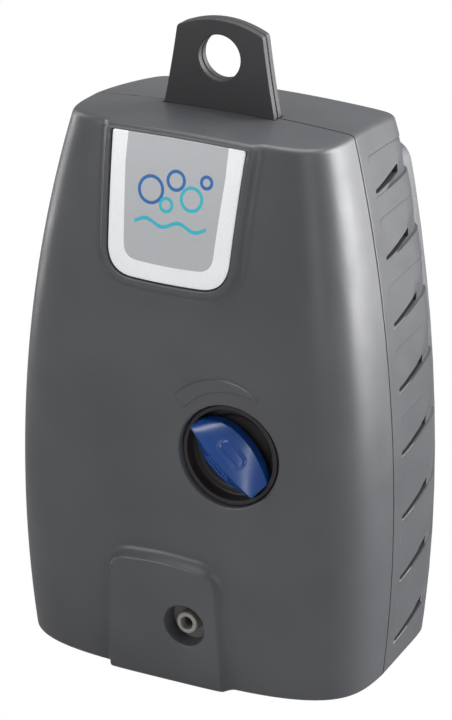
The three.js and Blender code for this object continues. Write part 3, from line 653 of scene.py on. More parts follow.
def sheet(half):
    """Triangles of one shell's wall between its top and bottom roundings, over (q, z)."""
    low, high = CASE_BOTTOM + BOTTOM_EDGE, CASE_TOP - TOP_EDGE
    columns = sheet_columns(half)
    rows = np.linspace(low, high, 102)
    lines = [(line, closed) for line, closed in feature_lines(half)]
    grid = [(q, z) for q in columns for z in rows[1:-1] if abs(q) < half.edge_q - 1e-6]
    grid = far_from(grid, lines, 0.55)
    points, edges = list(grid), []
    border = [(q, low) for q in columns] + [(columns[-1], z) for z in rows[1:-1]]
    border += [(q, high) for q in columns[::-1]] + [(columns[0], z) for z in rows[-2:0:-1]]
    for line, closed in lines + [(np.array(border), True)]:
        start, count = len(points), len(line)
        points += [tuple(p) for p in line]
        edges += [(start + i, start + (i + 1) % count) for i in range(count if closed else count - 1)]
    made = delaunay_2d_cdt([Vector(p) for p in points], edges, [], 0, 1e-4, False)
    flat = np.array([tuple(v) for v in made[0]])
    slack = 1e-5
    keep = (flat[:, 1] > low - slack) & (flat[:, 1] < high + slack)
    faces = [face for face in made[2] if all(keep[i] for i in face)]
    return flat, faces


def edge_rows(half, columns, z_edge, z_end, edge):
    """Rows of points that round the wall over into the top or bottom face."""
    turns = np.linspace(0, math.pi / 2, 6)
    rows = []
    for turn in turns:
        reach = edge * (1 - math.cos(math.pi / 2 - turn))
        z = z_end + (z_edge - z_end) * (reach / edge)
        rows.append(half_point(half, columns, np.full(len(columns), z)))
    return rows


def triangles_inside(points, edges, outline):
    """Triangulates flat points along the given edges and keeps what lies inside the outline."""
    made = delaunay_2d_cdt([Vector(p) for p in points], edges, [], 0, 1e-6, False)
    flat = np.array([tuple(v) for v in made[0]])
    middles = np.array([flat[list(face)].mean(0) for face in made[2]])
    outline = np.array(outline, np.float32).astype(float)  # the precision of the flat points
    return flat, [face for face, d in zip(made[2], outline_distance(middles, outline)) if d < 0]


def cap(half, loop, z_of):
    """Triangles of a top or bottom face inside a loop of (x, y) points."""
    xs = np.arange(-45, 45.1, 1.8)
    ys = np.arange(0.9, 34, 1.8) * half.sign
    grid = [(x, y) for x in xs for y in ys]
    inside = outline_distance(np.array(grid), loop) < -0.6
    points = [tuple(p) for p in loop] + [p for p, good in zip(grid, inside) if good]
    count = len(loop)
    edges = [(i, (i + 1) % count) for i in range(count)]
    flat, faces = triangles_inside(points, edges, loop)
    return np.column_stack([flat, z_of(flat[:, 0], flat[:, 1])]), faces


def half_body(name, half):
    """One shell's outer form as a closed solid block, cut flat at the seam."""
    flat, faces = sheet(half)
    parts = [(half_point(half, flat[:, 0], flat[:, 1]), faces)]
    low, high = CASE_BOTTOM + BOTTOM_EDGE, CASE_TOP - TOP_EDGE
    ends = ((high, CASE_TOP, TOP_EDGE), (low, CASE_BOTTOM, BOTTOM_EDGE))
    for z_edge, z_end, edge in ends:
        on_edge = np.abs(flat[:, 1] - z_edge) < 1e-5
        columns = np.sort(flat[on_edge, 0])
        rows = edge_rows(half, columns, z_edge, z_end, edge)
        count = len(columns)
        quads = [(r * count + i, r * count + i + 1, (r + 1) * count + i + 1, (r + 1) * count + i)
                 for r in range(len(rows) - 1) for i in range(count - 1)]
        parts.append((np.concatenate(rows), quads))
        rim = rows[-1][:, :2]
        steps = int(np.ptp(rim[:, 0]) / 1.8)
        seam = [rim[-1] + (rim[0] - rim[-1]) * k / steps for k in range(1, steps)]
        loop = np.concatenate([rim, np.array(seam)])
        if z_end == CASE_TOP:
            parts.append(cap(half, loop, lambda x, y: CASE_TOP - top_drop(x, y)))
        else:
            parts.append(cap(half, loop, lambda x, y: CASE_BOTTOM + 0 * x))
    points = np.concatenate([p for p, _ in parts])
    all_faces, start = [], 0
    for part_points, part_faces in parts:
        all_faces += [tuple(start + i for i in face) for face in part_faces]
        start += len(part_points)
    piece = new_piece(name, points, all_faces)
    work = bmesh.new()
    work.from_mesh(piece.data)
    bmesh.ops.remove_doubles(work, verts=work.verts, dist=2e-6)
    open_edges = [e for e in work.edges if e.is_boundary]
    bmesh.ops.holes_fill(work, edges=open_edges, sides=0)
    bmesh.ops.recalc_face_normals(work, faces=work.faces)
    work.to_mesh(piece.data)
    work.free()
    return piece


def inner_form(name, inset, low, high, y0, y1):
    """Plain closed form that follows the casing's outline `inset` inside it, between two Y planes."""
    rings = []
    spots = []
    for half in (REAR, FRONT):
        columns = np.concatenate([np.arange(-half.edge_q + 0.4, half.edge_q, 1.6)])
        spots.append((half, columns[::-1] if half is REAR else columns))
    for z in np.linspace(low, high, 30):
        ring = []
        for half, columns in spots:
            zs = np.full(len(columns), z)
            base = half.point(columns, np.full(len(columns), z))
            base = base - half.normal(columns, zs) * (inset, inset, 0)
            base[:, 2] = z - top_drop(base[:, 0], base[:, 1]) * ((z - CASE_BOTTOM) / CASE_HEIGHT) ** 8
            base[:, 1] = np.clip(base[:, 1], y0, y1)
            ring.append(base)
        rings.append(np.concatenate(ring))
    return ring_solid(name, rings)


def hollow_form(name):
    return inner_form(name, WALL, CASE_BOTTOM + WALL, CASE_TOP - WALL, -60, 60)


def within_walls(tool):
    """Trims an inner support so that it ends inside the casing's wall."""
    limit = inner_form("limit", 1.0, CASE_BOTTOM + 1, CASE_TOP - 1, -60, 60)
    return combine(tool, "INTERSECT", [limit])


def rod(name, x, z, y0, y1, radius, segments=64, edge=0.0):
    """Plain round tool or post along Y."""
    ring = circle(x, z, radius, segments)
    return prism(name, ring, y0, y1, edge)


# ---------------------------------------------------------------- front shell, label and outlet


def front_cover(materials):
    cover = half_body("front_cover_skin", FRONT)
    tongue = inner_form("tongue", 1.1, CASE_BOTTOM + 1.1, CASE_TOP - 1.1, -2.5, 2.2)
    combine(cover, "UNION", [tongue])
    combine(cover, "DIFFERENCE", [hollow_form("hollow")])
    posts = [rod("post", x, z, -25.5, -0.5, 3.6) for x, _, z in CASE_SCREWS]
    combine(cover, "UNION", [within_walls(post) for post in posts])
    tools = [
        rod("recess", KNOB_X, KNOB_Z, -40, -10, RECESS_RADIUS - 0.12, 120),
        rod("outlet", NOZZLE_X, NOZZLE_Z, -40, -15, OUTLET_HOLE_RADIUS - 0.12),
        hanger_slot(),
    ]
    tools += [rod("pilot", x, z, -14, 3, 1.2, 24) for x, _, z in CASE_SCREWS]
    tools += foot_holes()
    combine(cover, "DIFFERENCE", tools)
    return dress(cover, "casing", [materials["casing"]], ["front_cover"])


def hanger_slot():
    """Slot through the casing's top that the tab's neck stands in."""
    half, half_gap = 14.7, 2.25
    return box_solid("hanger_slot", -half, half, -half_gap, half_gap, CASE_TOP - 8, CASE_TOP + 5)


def foot_holes():
    """Through holes in the casing's floor for the feet's stems."""
    radius, low, high = 2.2, -2, 7.2
    profile = [(0, low), (radius, low), (radius, high), (0, high)]
    return [lathe("foot_hole", profile, (x, y - PARTING_Y, 0), "z", 24, 0) for x, y, _ in FEET]


def label_plate(materials):
    """Thin plate that follows the wall, with a silver border round a grey field."""
    edge = label_outline(0)
    border = label_outline(-BORDER_WIDTH)
    border[:, 1] = np.where(border[:, 1] > CASE_TOP - BORDER_WIDTH - 4, border[:, 1] + 12, border[:, 1])
    border = resample(border, 0.7)
    rings = [offset_outline(edge, -d) for d in (0.04, 0.1, 0.2, 0.5)]
    xs, zs = np.arange(-17, 17.1, 1.2), np.arange(101, CASE_TOP, 1.2)
    grid = np.array([(x, z) for x in xs for z in zs])
    inside = (outline_distance(grid, edge) < -0.9) & (np.abs(outline_distance(grid, border)) > 0.5)
    points, edges = [tuple(p) for p in grid[inside]], []
    for ring in [edge] + rings + [border]:
        start, count = len(points), len(ring)
        points += [tuple(p) for p in ring]
        edges += [(start + i, start + (i + 1) % count) for i in range(count)]
    flat, kept = triangles_inside(points, edges, edge)
    used = sorted({i for face in kept for i in face})
    index = {old: new for new, old in enumerate(used)}
    flat = flat[used]
    faces = [tuple(index[i] for i in face) for face in kept]
    in_field = outline_distance(np.array([flat[list(face)].mean(0) for face in faces]), border) < 0
    q = FRONT.q_of_x(flat[:, 0], flat[:, 1])
    base, normal = FRONT.point(q, flat[:, 1]), FRONT.normal(q, flat[:, 1])
    round_off = edge_drop(np.maximum(-outline_distance(flat, edge), 0), 0.2)
    front = base + normal * (LABEL_RAISE - round_off)[:, None]
    back = base + normal * (LABEL_RAISE - 0.7)
    count = len(flat)
    rim = [int(i) for i in np.flatnonzero(np.abs(outline_distance(flat, edge)) < 1e-4)]
    around = in_order_round(flat, rim)
    sides = [(a, b, b + count, a + count) for a, b in zip(around, around[1:] + around[:1])]
    backs = [tuple(i + count for i in face)[::-1] for face in faces]
    plate = new_piece("label_plate_skin", np.concatenate([front, back]), faces + backs + sides)
    for polygon, field in zip(plate.data.polygons, in_field):
        polygon.material_index = 1 if field else 0
    kept_index = [p.material_index for p in plate.data.polygons]
    face_outwards(plate)
    dress(plate, "casing", [materials["label_border"], materials["label_field"]], ["label_plate"])
    plate.data.polygons.foreach_set("material_index", kept_index)
    return plate


def in_order_round(flat, rim):
    """Rim points in order round the label's middle."""
    centre = flat[rim].mean(0)
    return sorted(rim, key=lambda i: math.atan2(flat[i][1] - centre[1], flat[i][0] - centre[0]))


def outlet_nozzle(materials):
    tip = NOZZLE_TIP
    profile = [(1.6, tip), (2.65, tip), (2.65, -23.2), (7, -23.2),
               (7, -21.6), (2.4, -21.6), (2.4, -17), (1.6, -17)]
    edges = [0.2, 0.45, 0.3, 0.2, 0.2, 0.1, 0.3, 0.1]
    nozzle = lathe("outlet_nozzle_skin", profile, (NOZZLE_X, 0, NOZZLE_Z), "y", 64, edges)
    return dress(nozzle, "casing", [materials["nozzle"]], ["outlet_nozzle"])


# ---------------------------------------------------------------- rear shell and filter door

_, DOOR_HIGH = box_mm("filter_cover")
DOOR_HALF = DOOR_HIGH[0] - 1.0
DOOR_INNER = PANEL_Y - 2.2
HINGE_Z = joint_place("filter_door_swing")[2]
HINGE_Y = joint_place("filter_door_swing")[1] - PARTING_Y
DOOR_TOP = DOOR_HIGH[2]


def panel_outline(inset):
    """Outline of the raised back panel: it keeps a steady margin to the casing's sides."""
    bottom, top = CASE_BOTTOM + 3.5 + inset, CASE_TOP - 12.4 - inset
    zs = np.linspace(top, bottom, 12)
    side = half_width(zs - CASE_BOTTOM) - 5 - inset
    radius = 7 - inset
    points = [(x, z) for x, z in zip(side, zs)] + [(-x, z) for x, z in zip(side[::-1], zs[::-1])]
    radii = [radius] + [0] * 10 + [radius, radius] + [0] * 10 + [radius]
    return anticlockwise(soften(points, radii, closed=True, steps=8))


def slot_ring(k):
    """Outline in (y, z) of louvre k: thin and round at the front, opening towards the rear."""
    _, _, back, _ = louvre(k)
    ys = np.linspace(LOUVRE_FRONT, back, 14)
    low = slot_height(k, ys)
    share = (ys - LOUVRE_FRONT) / (back - LOUVRE_FRONT)
    high = low + 0.9 + 1.2 * share
    points = np.concatenate([np.stack([ys, low], 1), np.stack([ys[::-1], high[::-1]], 1)])
    radii = [0.45] + [0] * 12 + [0.3, 0.5] + [0] * 12 + [0.45]
    return np.array(soften(points, radii, closed=True, steps=3))


def louvre_tools():
    tools = []
    for k in range(len(LOUVRE_HEIGHTS)):
        ring = slot_ring(k)
        middle = half_width(ring[:, 1].mean() - CASE_BOTTOM)
        for side in (-1, 1):
            rings = [np.column_stack([np.full(len(ring), side * x), ring]) for x in (middle - 6, middle + 3)]
            tools.append(ring_solid("louvre", rings))
    return tools


def intake_bars():
    return [box_solid("bar", -17, 17, 20, 30, z - 1.4, z + 1.4, 0.4) for z in range(52, 101, 8)]


def rear_cover(materials):
    cover = half_body("rear_cover_skin", REAR)
    panel = prism("panel", panel_outline(0), 22, PANEL_Y, 1.3, 5)
    combine(cover, "UNION", [panel])
    hollow = hollow_form("hollow")
    combine(hollow, "UNION", [prism("panel_hollow", panel_outline(WALL), 20, PANEL_Y - WALL)])
    combine(cover, "DIFFERENCE", [hollow])
    groove = inner_form("groove", 0.8, CASE_BOTTOM + 0.8, CASE_TOP - 0.8, -1, 2.6)
    combine(cover, "DIFFERENCE", [groove])
    combine(cover, "UNION", [box_solid("pocket_wall", -27, 27, 25, PANEL_Y - 1, 42, 110, 0.5)])
    supports = [rod("tube", x, z, 2.6, PANEL_Y - 1.1, 4.6) for x, _, z in CASE_SCREWS]
    supports += [rod("post", x, z, 24.6, 33.5, 3.5) for x, _, z in GROMMETS]
    combine(cover, "UNION", supports)
    seat_outline = rounded_box(-DOOR_HALF - 0.3, DOOR_HALF + 0.3, HINGE_Z - 1.4, DOOR_TOP + 0.3, 1.2)
    door_seat = prism("door_seat", seat_outline, 27, PANEL_Y, -0.35, 3)
    notch = lathe("notch", [(0, -3), (6, -3), (6, 3), (0, 3)], (0, PANEL_Y + 1.2, DOOR_TOP), "y", 64, 0.8)
    stub_axis = hinge_bar("stub_hole", 0.95, DOOR_HALF + 1.5, 24, 0)
    combine(cover, "DIFFERENCE", [door_seat, hanger_slot()] + louvre_tools() + foot_holes())
    combine(cover, "DIFFERENCE", [notch] + intake_bars())
    combine(cover, "DIFFERENCE", [stub_axis, rod("cable_hole", CABLE_X, CABLE_Z, 25, 40, 5)])
    wells = [prism("well", circle(x, z, 3.5, 48), 25.8, PANEL_Y, -0.35, 3) for x, _, z in CASE_SCREWS]
    combine(cover, "DIFFERENCE", wells)
    holes = [rod("shank_hole", x, z, -1, 27, 1.8, 24) for x, _, z in CASE_SCREWS]
    holes += [rod("frame_pilot", x, z, 20, 30.4, 1.65, 24) for x, _, z in GROMMETS]
    combine(cover, "DIFFERENCE", holes)
    return dress(cover, "casing", [materials["casing"]], ["rear_cover"])


def hinge_bar(name, radius, half, segments, edge):
    """Round bar on the filter door's hinge axis."""
    profile = [(0, -half), (radius, -half), (radius, half), (0, half)]
    return lathe(name, profile, (0, HINGE_Y, HINGE_Z), "x", segments, edge)


def filter_cover(materials):
    """Hinged grille leaf over the intake felt."""
    outline = rounded_box(-DOOR_HALF, DOOR_HALF, HINGE_Z, DOOR_TOP, 1.0)
    leaf = prism("filter_cover_skin", outline, DOOR_INNER, PANEL_Y, 0.35, 3)
    combine(leaf, "UNION", [hinge_bar("knuckle", 1.1, DOOR_HALF, 32, 0.1)])
    combine(leaf, "UNION", [hinge_bar("stubs", 0.8, DOOR_HALF + 1, 32, 0.15)])
    slits = [prism("slit", rounded_box(-18, 18, z - 1, z + 1, 1.4), DOOR_INNER, PANEL_Y, -0.3, 3)
             for z in range(56, 97, 8)]
    combine(leaf, "DIFFERENCE", slits)
    thumb_profile = [(0, -0.6), (5, -0.6), (5, 2), (0, 2)]
    thumb = lathe("thumb", thumb_profile, (0, PANEL_Y, DOOR_TOP - 2), "y", 64, 0.8)
    combine(leaf, "DIFFERENCE", [thumb])
    return dress(leaf, "filter_door", [materials["casing"]], ["filter_cover"])


def filter_felt(materials):
    """Needled pad whose faces are slightly uneven and whose edges are soft."""
    low, high = box_mm("filter_felt")
    low, high = low - (0, PARTING_Y, 0), high - (0, PARTING_Y, 0)
    xs, zs = np.linspace(low[0], high[0], 49), np.linspace(low[2], high[2], 63)
    points, faces = [], []
    for face_y, push in ((low[1], -1), (high[1], 1)):
        for i, x in enumerate(xs):
            for j, z in enumerate(zs):
                rim = min(x - xs[0], xs[-1] - x, z - zs[0], zs[-1] - z)
                drop = float(edge_drop(rim, 1.6))
                lumps = 0.13 * math.sin(x * 1.9 + 0.7 * z) * math.cos(z * 1.3 - 0.4 * x)
                depth = 0.25 + lumps + drop
                points.append((x, face_y - push * max(depth, 0.02), z))
    rows, half = len(zs), len(xs) * len(zs)
    for i in range(len(xs) - 1):
        for j in range(rows - 1):
            a = i * rows + j
            faces.append((a, a + rows, a + rows + 1, a + 1))
            faces.append((a + half, a + 1 + half, a + rows + 1 + half, a + rows + half))
    rim = [i * rows for i in range(len(xs))] + [(len(xs) - 1) * rows + j for j in range(1, rows)]
    rim += [i * rows + rows - 1 for i in range(len(xs) - 2, -1, -1)] + list(range(rows - 2, 0, -1))
    for a, b in zip(rim, rim[1:] + rim[:1]):
        faces.append((a, a + half, b + half, b))
    felt = face_outwards(new_piece("filter_felt_pad", points, faces))
    return dress(felt, "casing", [materials["felt"]], ["filter_felt"])


# ---------------------------------------------------------------- hanger, knob, feet, screws, cable


def hanger_plate(node, materials):
    """One plate of the hanging tab: an arched top, bowed sides and a shouldered foot in the casing."""
    low, high = box_mm(node)
    y0, y1 = low[1] - PARTING_Y, high[1] - PARTING_Y
    top = high[2]
    base = CASE_TOP + 0.3
    shoulders = [(-20, base - 13.3), (20, base - 13.3), (20, base - 6.3), (14.2, base - 6.3)]
    ts = np.linspace(0, 1, 9)
    flank = [(14.25 - 3.2 * t - 0.6 * (t - t * t), base + (top - 2.6 - base) * t) for t in ts]
    crown = [(x, top - 2.4 * (x / 10.6) ** 2) for x in np.linspace(9.6, -9.6, 13)]
    left = [(-x, z) for x, z in flank[::-1]]
    points = shoulders + flank + crown + left + [(-14.2, base - 6.3), (-20, base - 6.3)]
    radii = [0.5, 0.5, 0.5, 0.3] + [0] * 8 + [1.2] + [0] * 13 + [1.2] + [0] * 8 + [0.3, 0.5]
    outline = resample(anticlockwise(soften(points, radii, closed=True, steps=4)), 1.0)
    plate = prism(node + "_skin", outline, y0, y1, 0.28, 3)
    hole_z = CASE_TOP + 12.4
    combine(plate, "DIFFERENCE", [prism("hole", circle(0, hole_z, 5.4, 96), y0, y1, -0.3, 3)])
    return dress(plate, "casing", [materials["hanger"]], [node])


POINTER = math.radians(48)   # pointer direction at rest: from up towards the left


def grip_distance(u, v):
    """Distance to the middle line of the finger dimple on a knob flank."""
    return np.hypot(np.maximum(np.abs(u) - 2.6, 0), v)


KNOB_REACH = 10.8        # from the shaft's axis to either end of the pointer
KNOB_HALF = 6.0          # half the pointer's width at its middle
KNOB_BORE = 3.2          # radius of the hole for the shaft
KNOB_BORE_END = -26.4    # the bore stops here, behind the flanks
KNOB_SKIRT = 2.8         # upright side wall under the slanted flanks
KNOB_CREST = 8.2         # ridge above the knob's back: the flanks clear the shaft's tip


def knob_width(t):
    """Half width along the pointer: blunt at t = 0, a narrow rounded tip at t = 1."""
    if t < 0.5:
        return KNOB_HALF * (0.5 + 0.5 * math.sin(math.pi * t))
    return max(KNOB_HALF * (1 - ((t - 0.5) / 0.505) ** 2.4) ** 0.75, 0.25)


def knob_ring(u):
    """Cross-section of the pointer at the distance u along it, as (along, across, y) points."""
    t = (u + KNOB_REACH) / (2 * KNOB_REACH)
    near_end = edge_drop(np.array([u + KNOB_REACH]), 0.5)[0]
    width = knob_width(t) - near_end * 0.6
    crest = KNOB_CREST * (1 - 0.12 * (2 * t - 1) ** 2) - near_end
    ring = []
    for s in np.linspace(-1, 1, 71):
        rise = 1 - (abs(s) + 0.2 * s * s) / 1.2
        groove = grip_distance(u + 0.3, (abs(s) - 0.5) * KNOB_HALF)
        sink = 0.28 * math.exp(-((groove - 1.05) / 0.22) ** 2)
        ring.append((u, width * s, KNOB_BACK - KNOB_SKIRT - (crest - KNOB_SKIRT) * rise + sink))
    ring += [(u, width, KNOB_BACK - 0.2), (u, width - 0.2, KNOB_BACK)]
    ring += [(u, -width + 0.2, KNOB_BACK), (u, -width, KNOB_BACK - 0.2)]
    return ring


def regulator_knob(materials):
    """Pointer knob: two slanted flanks that meet in a ridge, on a round hub."""
    inner = np.linspace(-KNOB_REACH + 0.25, KNOB_REACH - 0.25, 110)
    rings = [knob_ring(u) for u in (-KNOB_REACH, *inner, KNOB_REACH)]
    up = np.array([-math.sin(POINTER), math.cos(POINTER)])
    across = np.array([up[1], -up[0]])
    placed = []
    for ring in rings:
        flat = np.array(ring)
        xz = flat[:, :1] * up + flat[:, 1:2] * across
        placed.append(np.column_stack([KNOB_X + xz[:, 0], flat[:, 2], KNOB_Z + xz[:, 1]]))
    knob = ring_solid("regulator_knob_skin", placed)
    hub_top = KNOB_BACK - KNOB_SKIRT + 0.1
    hub_profile = [(0, hub_top), (5.8, hub_top), (5.8, KNOB_BACK), (0, KNOB_BACK)]
    hub = lathe("hub", hub_profile, (KNOB_X, 0, KNOB_Z), "y", 96, 0.6)
    combine(knob, "UNION", [hub])
    combine(knob, "DIFFERENCE", [rod("bore", KNOB_X, KNOB_Z, KNOB_BORE_END, -22, KNOB_BORE, 32)])
    return dress(knob, "regulator", [materials["knob"]], ["regulator_knob"])


def regulator_dish(materials):
    profile = [(3.4, -21.4), (3.4, -22.6), (8.6, -22.6), (9.2, -23.3), (10.7, -23.3), (11.1, -24.3),
               (11.1, -26.4), (12.2, -26.4), (12.2, -23), (14.4, -23), (14.4, -21.4)]
    dish = lathe("regulator_dish_skin", profile, (KNOB_X, 0, KNOB_Z), "y", 96, 0.3)
    return dress(dish, "casing", [materials["dish"]], ["regulator_dish"])


def foot(k, materials):
    x, y, _ = FEET[k]
    profile = [(0.0, 0.25), (3.4, 0.25), (3.7, 0), (5, 0), (5, 2.9), (1.9, 2.9), (2.35, 4.9),
               (2.35, 5.6), (1.4, 6.4), (0, 6.4)]
    edges = [0, 0.1, 0.1, 0.5, 0.35, 0.2, 0.3, 0.3, 0.3, 0]
    piece = lathe(f"foot_{k + 1}_skin", profile, (x, y - PARTING_Y, 0), "z", 48, edges)
    return dress(piece, "casing", [materials["rubber"]], [f"foot_{k + 1}"])


def case_screw(k, materials):
    """Pan-head screw with a cross recess, deep in its well."""
    x, _, z = CASE_SCREWS[k]
    low, high = box_mm(f"case_screw_{k + 1}")
    tip, top = low[1] - PARTING_Y, high[1] - PARTING_Y
    seat = top - 2
    profile = [(0, tip), (0.3, tip), (1.35, tip + 3), (1.35, seat),
               (3, seat), (3, seat + 0.9), (2.2, top), (0, top)]
    edges = [0, 0.1, 0.2, 0.1, 0.2, 0.6, 0.8, 0]
    screw = lathe(f"case_screw_{k + 1}_skin", profile, (x, 0, z), "y", 40, edges)
    for a, b in ((1.6, 0.4), (0.4, 1.6)):
        slot = box_solid("slot", x - a, x + a, top - 1.2, top + 1, z - b, z + b, 0.05)
        combine(screw, "DIFFERENCE", [slot])
    return dress(screw, "casing", [materials["steel"]], [f"case_screw_{k + 1}"])


def strain_relief(materials):
    """Tapered rubber sleeve with flexing grooves."""
    low, high = box_mm("strain_relief")
    start, end = low[1] - PARTING_Y, high[1] - PARTING_Y
    bore = 3.15
    profile = [(bore, start), (5.4, start), (5.4, start + 1.7), (4.7, start + 1.7), (4.7, PANEL_Y + 0.1),
               (6.6, PANEL_Y + 0.1), (6.6, PANEL_Y + 1.8), (5.0, PANEL_Y + 1.9)]
    y = PANEL_Y + 3
    while y < end - 1.5:
        radius = 4.9 - 0.8 * (y - PANEL_Y) / (end - PANEL_Y)
        groove = radius - 0.75
        profile += [(radius, y), (groove, y + 0.35), (groove, y + 1.05), (radius - 0.05, y + 1.4)]
        y += 2.3
    profile += [(4.0, end), (bore, end)]
    sleeve = lathe("strain_relief_skin", profile, (CABLE_X, 0, CABLE_Z), "y", 64, 0.2)
    return dress(sleeve, "casing", [materials["rubber"]], ["strain_relief"])


def catmull(points, steps):
    """Smooth run of points through the given ones."""
    points = [2 * points[0] - points[1]] + points + [2 * points[-1] - points[-2]]
    out = []
    for a, b, c, d in zip(points, points[1:], points[2:], points[3:]):
        for k in range(steps):
            t = k / steps
            out.append(0.5 * (2 * b + (c - a) * t + (2 * a - 5 * b + 4 * c - d) * t * t
                              + (3 * b - a - 3 * c + d) * t ** 3))
    return out + [points[-2]]


def tube(name, path, radius, sides=32):
    """Round bar along a path, capped flat at both ends."""
    path = [np.array(p, float) for p in path]
    side = np.array([1.0, 0, 0])
    rings = []
    for i, point in enumerate(path):
        ahead = path[min(i + 1, len(path) - 1)] - path[max(i - 1, 0)]
        ahead /= np.linalg.norm(ahead)
        side = side - ahead * (side @ ahead)
        side /= np.linalg.norm(side)
        up = np.cross(ahead, side)
        angles = np.linspace(0, 2 * math.pi, sides, endpoint=False)[:, None]
        rings.append(point + radius * (np.cos(angles) * side + np.sin(angles) * up))
    return ring_solid(name, rings)


def mains_cable(materials):
    """Round cable that leaves the casing, bends down to the floor and is cut off."""
    x, z = CABLE_X, CABLE_Z
    knots = [(x, 14, z), (x, 26, z), (x, 38, z), (x, 47, z), (x, 53, z - 0.8),
             (x - 1, 65, 8.6), (x - 3, 78, 3.9), (x - 7, 92, 3.2)]
    path = catmull([np.array(k, float) for k in knots], 8)
    cable = tube("mains_cable_skin", path, 2.96)
    dress(cable, "casing", [materials["cable"]], ["mains_cable"])
    ahead = path[-1] - path[-2]
    ahead /= np.linalg.norm(ahead)
    side = np.cross(ahead, (0, 0, 1.0))
    for k, (sign, finish) in enumerate(((-1, "core_brown"), (1, "core_blue"))):
        end = path[-1] + side * 1.25 * sign
        sheath = tube(f"cable_core_{k + 1}", [end - ahead * 0.6, end + ahead * 0.5], 1.05, 24)
        dress(sheath, "casing", [materials[finish]])
        strand = tube(f"cable_strand_{k + 1}", [end, end + ahead * 0.75], 0.6, 16)
        dress(strand, "casing", [materials["copper"]])
    return cable


# ---------------------------------------------------------------- finishes


def linear(colour):
    """Six-digit sRGB colour as linear RGBA."""
    values = [int(colour[i:i + 2], 16) / 255 for i in (0, 2, 4)]
    return [v / 12.92 if v <= 0.04045 else ((v + 0.055) / 1.055) ** 2.4 for v in values] + [1.0]


class Finish:
    """Node material with a Principled shader and a few helpers to wire it in millimetres."""

    def __init__(self, name):
        self.material = bpy.data.materials.new(name)
        self.material.use_nodes = True
        self.nodes = self.material.node_tree.nodes
        self.links = self.material.node_tree.links
        self.shader = self.nodes["Principled BSDF"]
        place = self.nodes.new("ShaderNodeTexCoord")
        scale = self.nodes.new("ShaderNodeVectorMath")
        scale.operation = "SCALE"
        scale.inputs["Scale"].default_value = 1 / MM
        self.links.new(place.outputs["Object"], scale.inputs[0])
        self.place = scale.outputs[0]

    def set(self, **values):
        for key, value in values.items():
            self.shader.inputs[key.replace("_", " ")].default_value = value
        return self

    def noise(self, size, detail=2.0, rough=0.5, place=None):
        """Noise from 0 to 1 whose lumps are about `size` millimetres across."""
        node = self.nodes.new("ShaderNodeTexNoise")
        node.inputs["Scale"].default_value = 1 / size
        node.inputs["Detail"].default_value = detail
        node.inputs["Roughness"].default_value = rough
        self.links.new(place or self.place, node.inputs["Vector"])
        return node.outputs["Fac"]

    def math(self, operation, a, b=0.0, clamp=False):
        node = self.nodes.new("ShaderNodeMath")
        node.operation = operation
        node.use_clamp = clamp
        for value, socket in ((a, node.inputs[0]), (b, node.inputs[1])):
            if isinstance(value, (int, float)):
                socket.default_value = value
            else:
                self.links.new(value, socket)
        return node.outputs[0]

    def spread(self, fac, low, high):
        """Number that runs from low to high as fac runs from 0.3 to 0.7."""
        node = self.nodes.new("ShaderNodeMapRange")
        node.inputs["From Min"].default_value = 0.3
        node.inputs["From Max"].default_value = 0.7
        node.inputs["To Min"].default_value = low
        node.inputs["To Max"].default_value = high
        self.links.new(fac, node.inputs["Value"])
        return node.outputs["Result"]

    def blend(self, fac, first, second):
        """Colour between two, each a hex colour or a socket."""
        node = self.nodes.new("ShaderNodeMix")
        node.data_type = "RGBA"
        self.links.new(fac, node.inputs["Factor"])
        for value, socket in ((first, node.inputs[6]), (second, node.inputs[7])):
            if isinstance(value, str):
                socket.default_value = linear(value)
            else:
                self.links.new(value, socket)
        return node.outputs[2]

    def colour(self, socket):
        self.links.new(socket, self.shader.inputs["Base Color"])
        return self

    def roughness(self, socket):
        self.links.new(socket, self.shader.inputs["Roughness"])
        return self

    def bump(self, *layers):
        """Each layer is (height from 0 to 1, depth in millimetres)."""
        normal = None
        for height, depth in layers:
            node = self.nodes.new("ShaderNodeBump")
            node.inputs["Strength"].default_value = 1.0
            node.inputs["Distance"].default_value = depth * MM
            self.links.new(height, node.inputs["Height"])
            if normal is not None:
                self.links.new(normal, node.inputs["Normal"])
            normal = node.outputs["Normal"]
        self.links.new(normal, self.shader.inputs["Normal"])
        return self

    def split(self):
        node = self.nodes.new("ShaderNodeSeparateXYZ")
        self.links.new(self.place, node.inputs[0])
        return node.outputs


def moulded(name, dark, light, rough, grain=0.35, grain_depth=0.01, coat=0.0, specular=0.5):
    """Moulded plastic: fine spark-eroded grain, faint flow marks and uneven polish."""
    finish = Finish(name)
    flow = finish.noise(22, 2)
    fine = finish.noise(grain, 3, 0.6)
    finish.colour(finish.blend(finish.spread(flow, 0, 1), dark, light))
    finish.roughness(finish.spread(finish.noise(6, 3), rough - 0.03, rough + 0.04))
    finish.bump((fine, grain_depth), (finish.noise(9, 1), 0.01))
    finish.set(Coat_Weight=coat, Coat_Roughness=0.25, Specular_IOR_Level=specular)
    return finish.material


def rubbery(name, dark, light, rough=0.75):
    finish = Finish(name)
    finish.colour(finish.blend(finish.spread(finish.noise(3, 4), 0, 1), dark, light))
    finish.roughness(finish.spread(finish.noise(1.2, 2), rough - 0.08, rough + 0.08))
    finish.bump((finish.noise(0.25, 2), 0.012))
    return finish.material


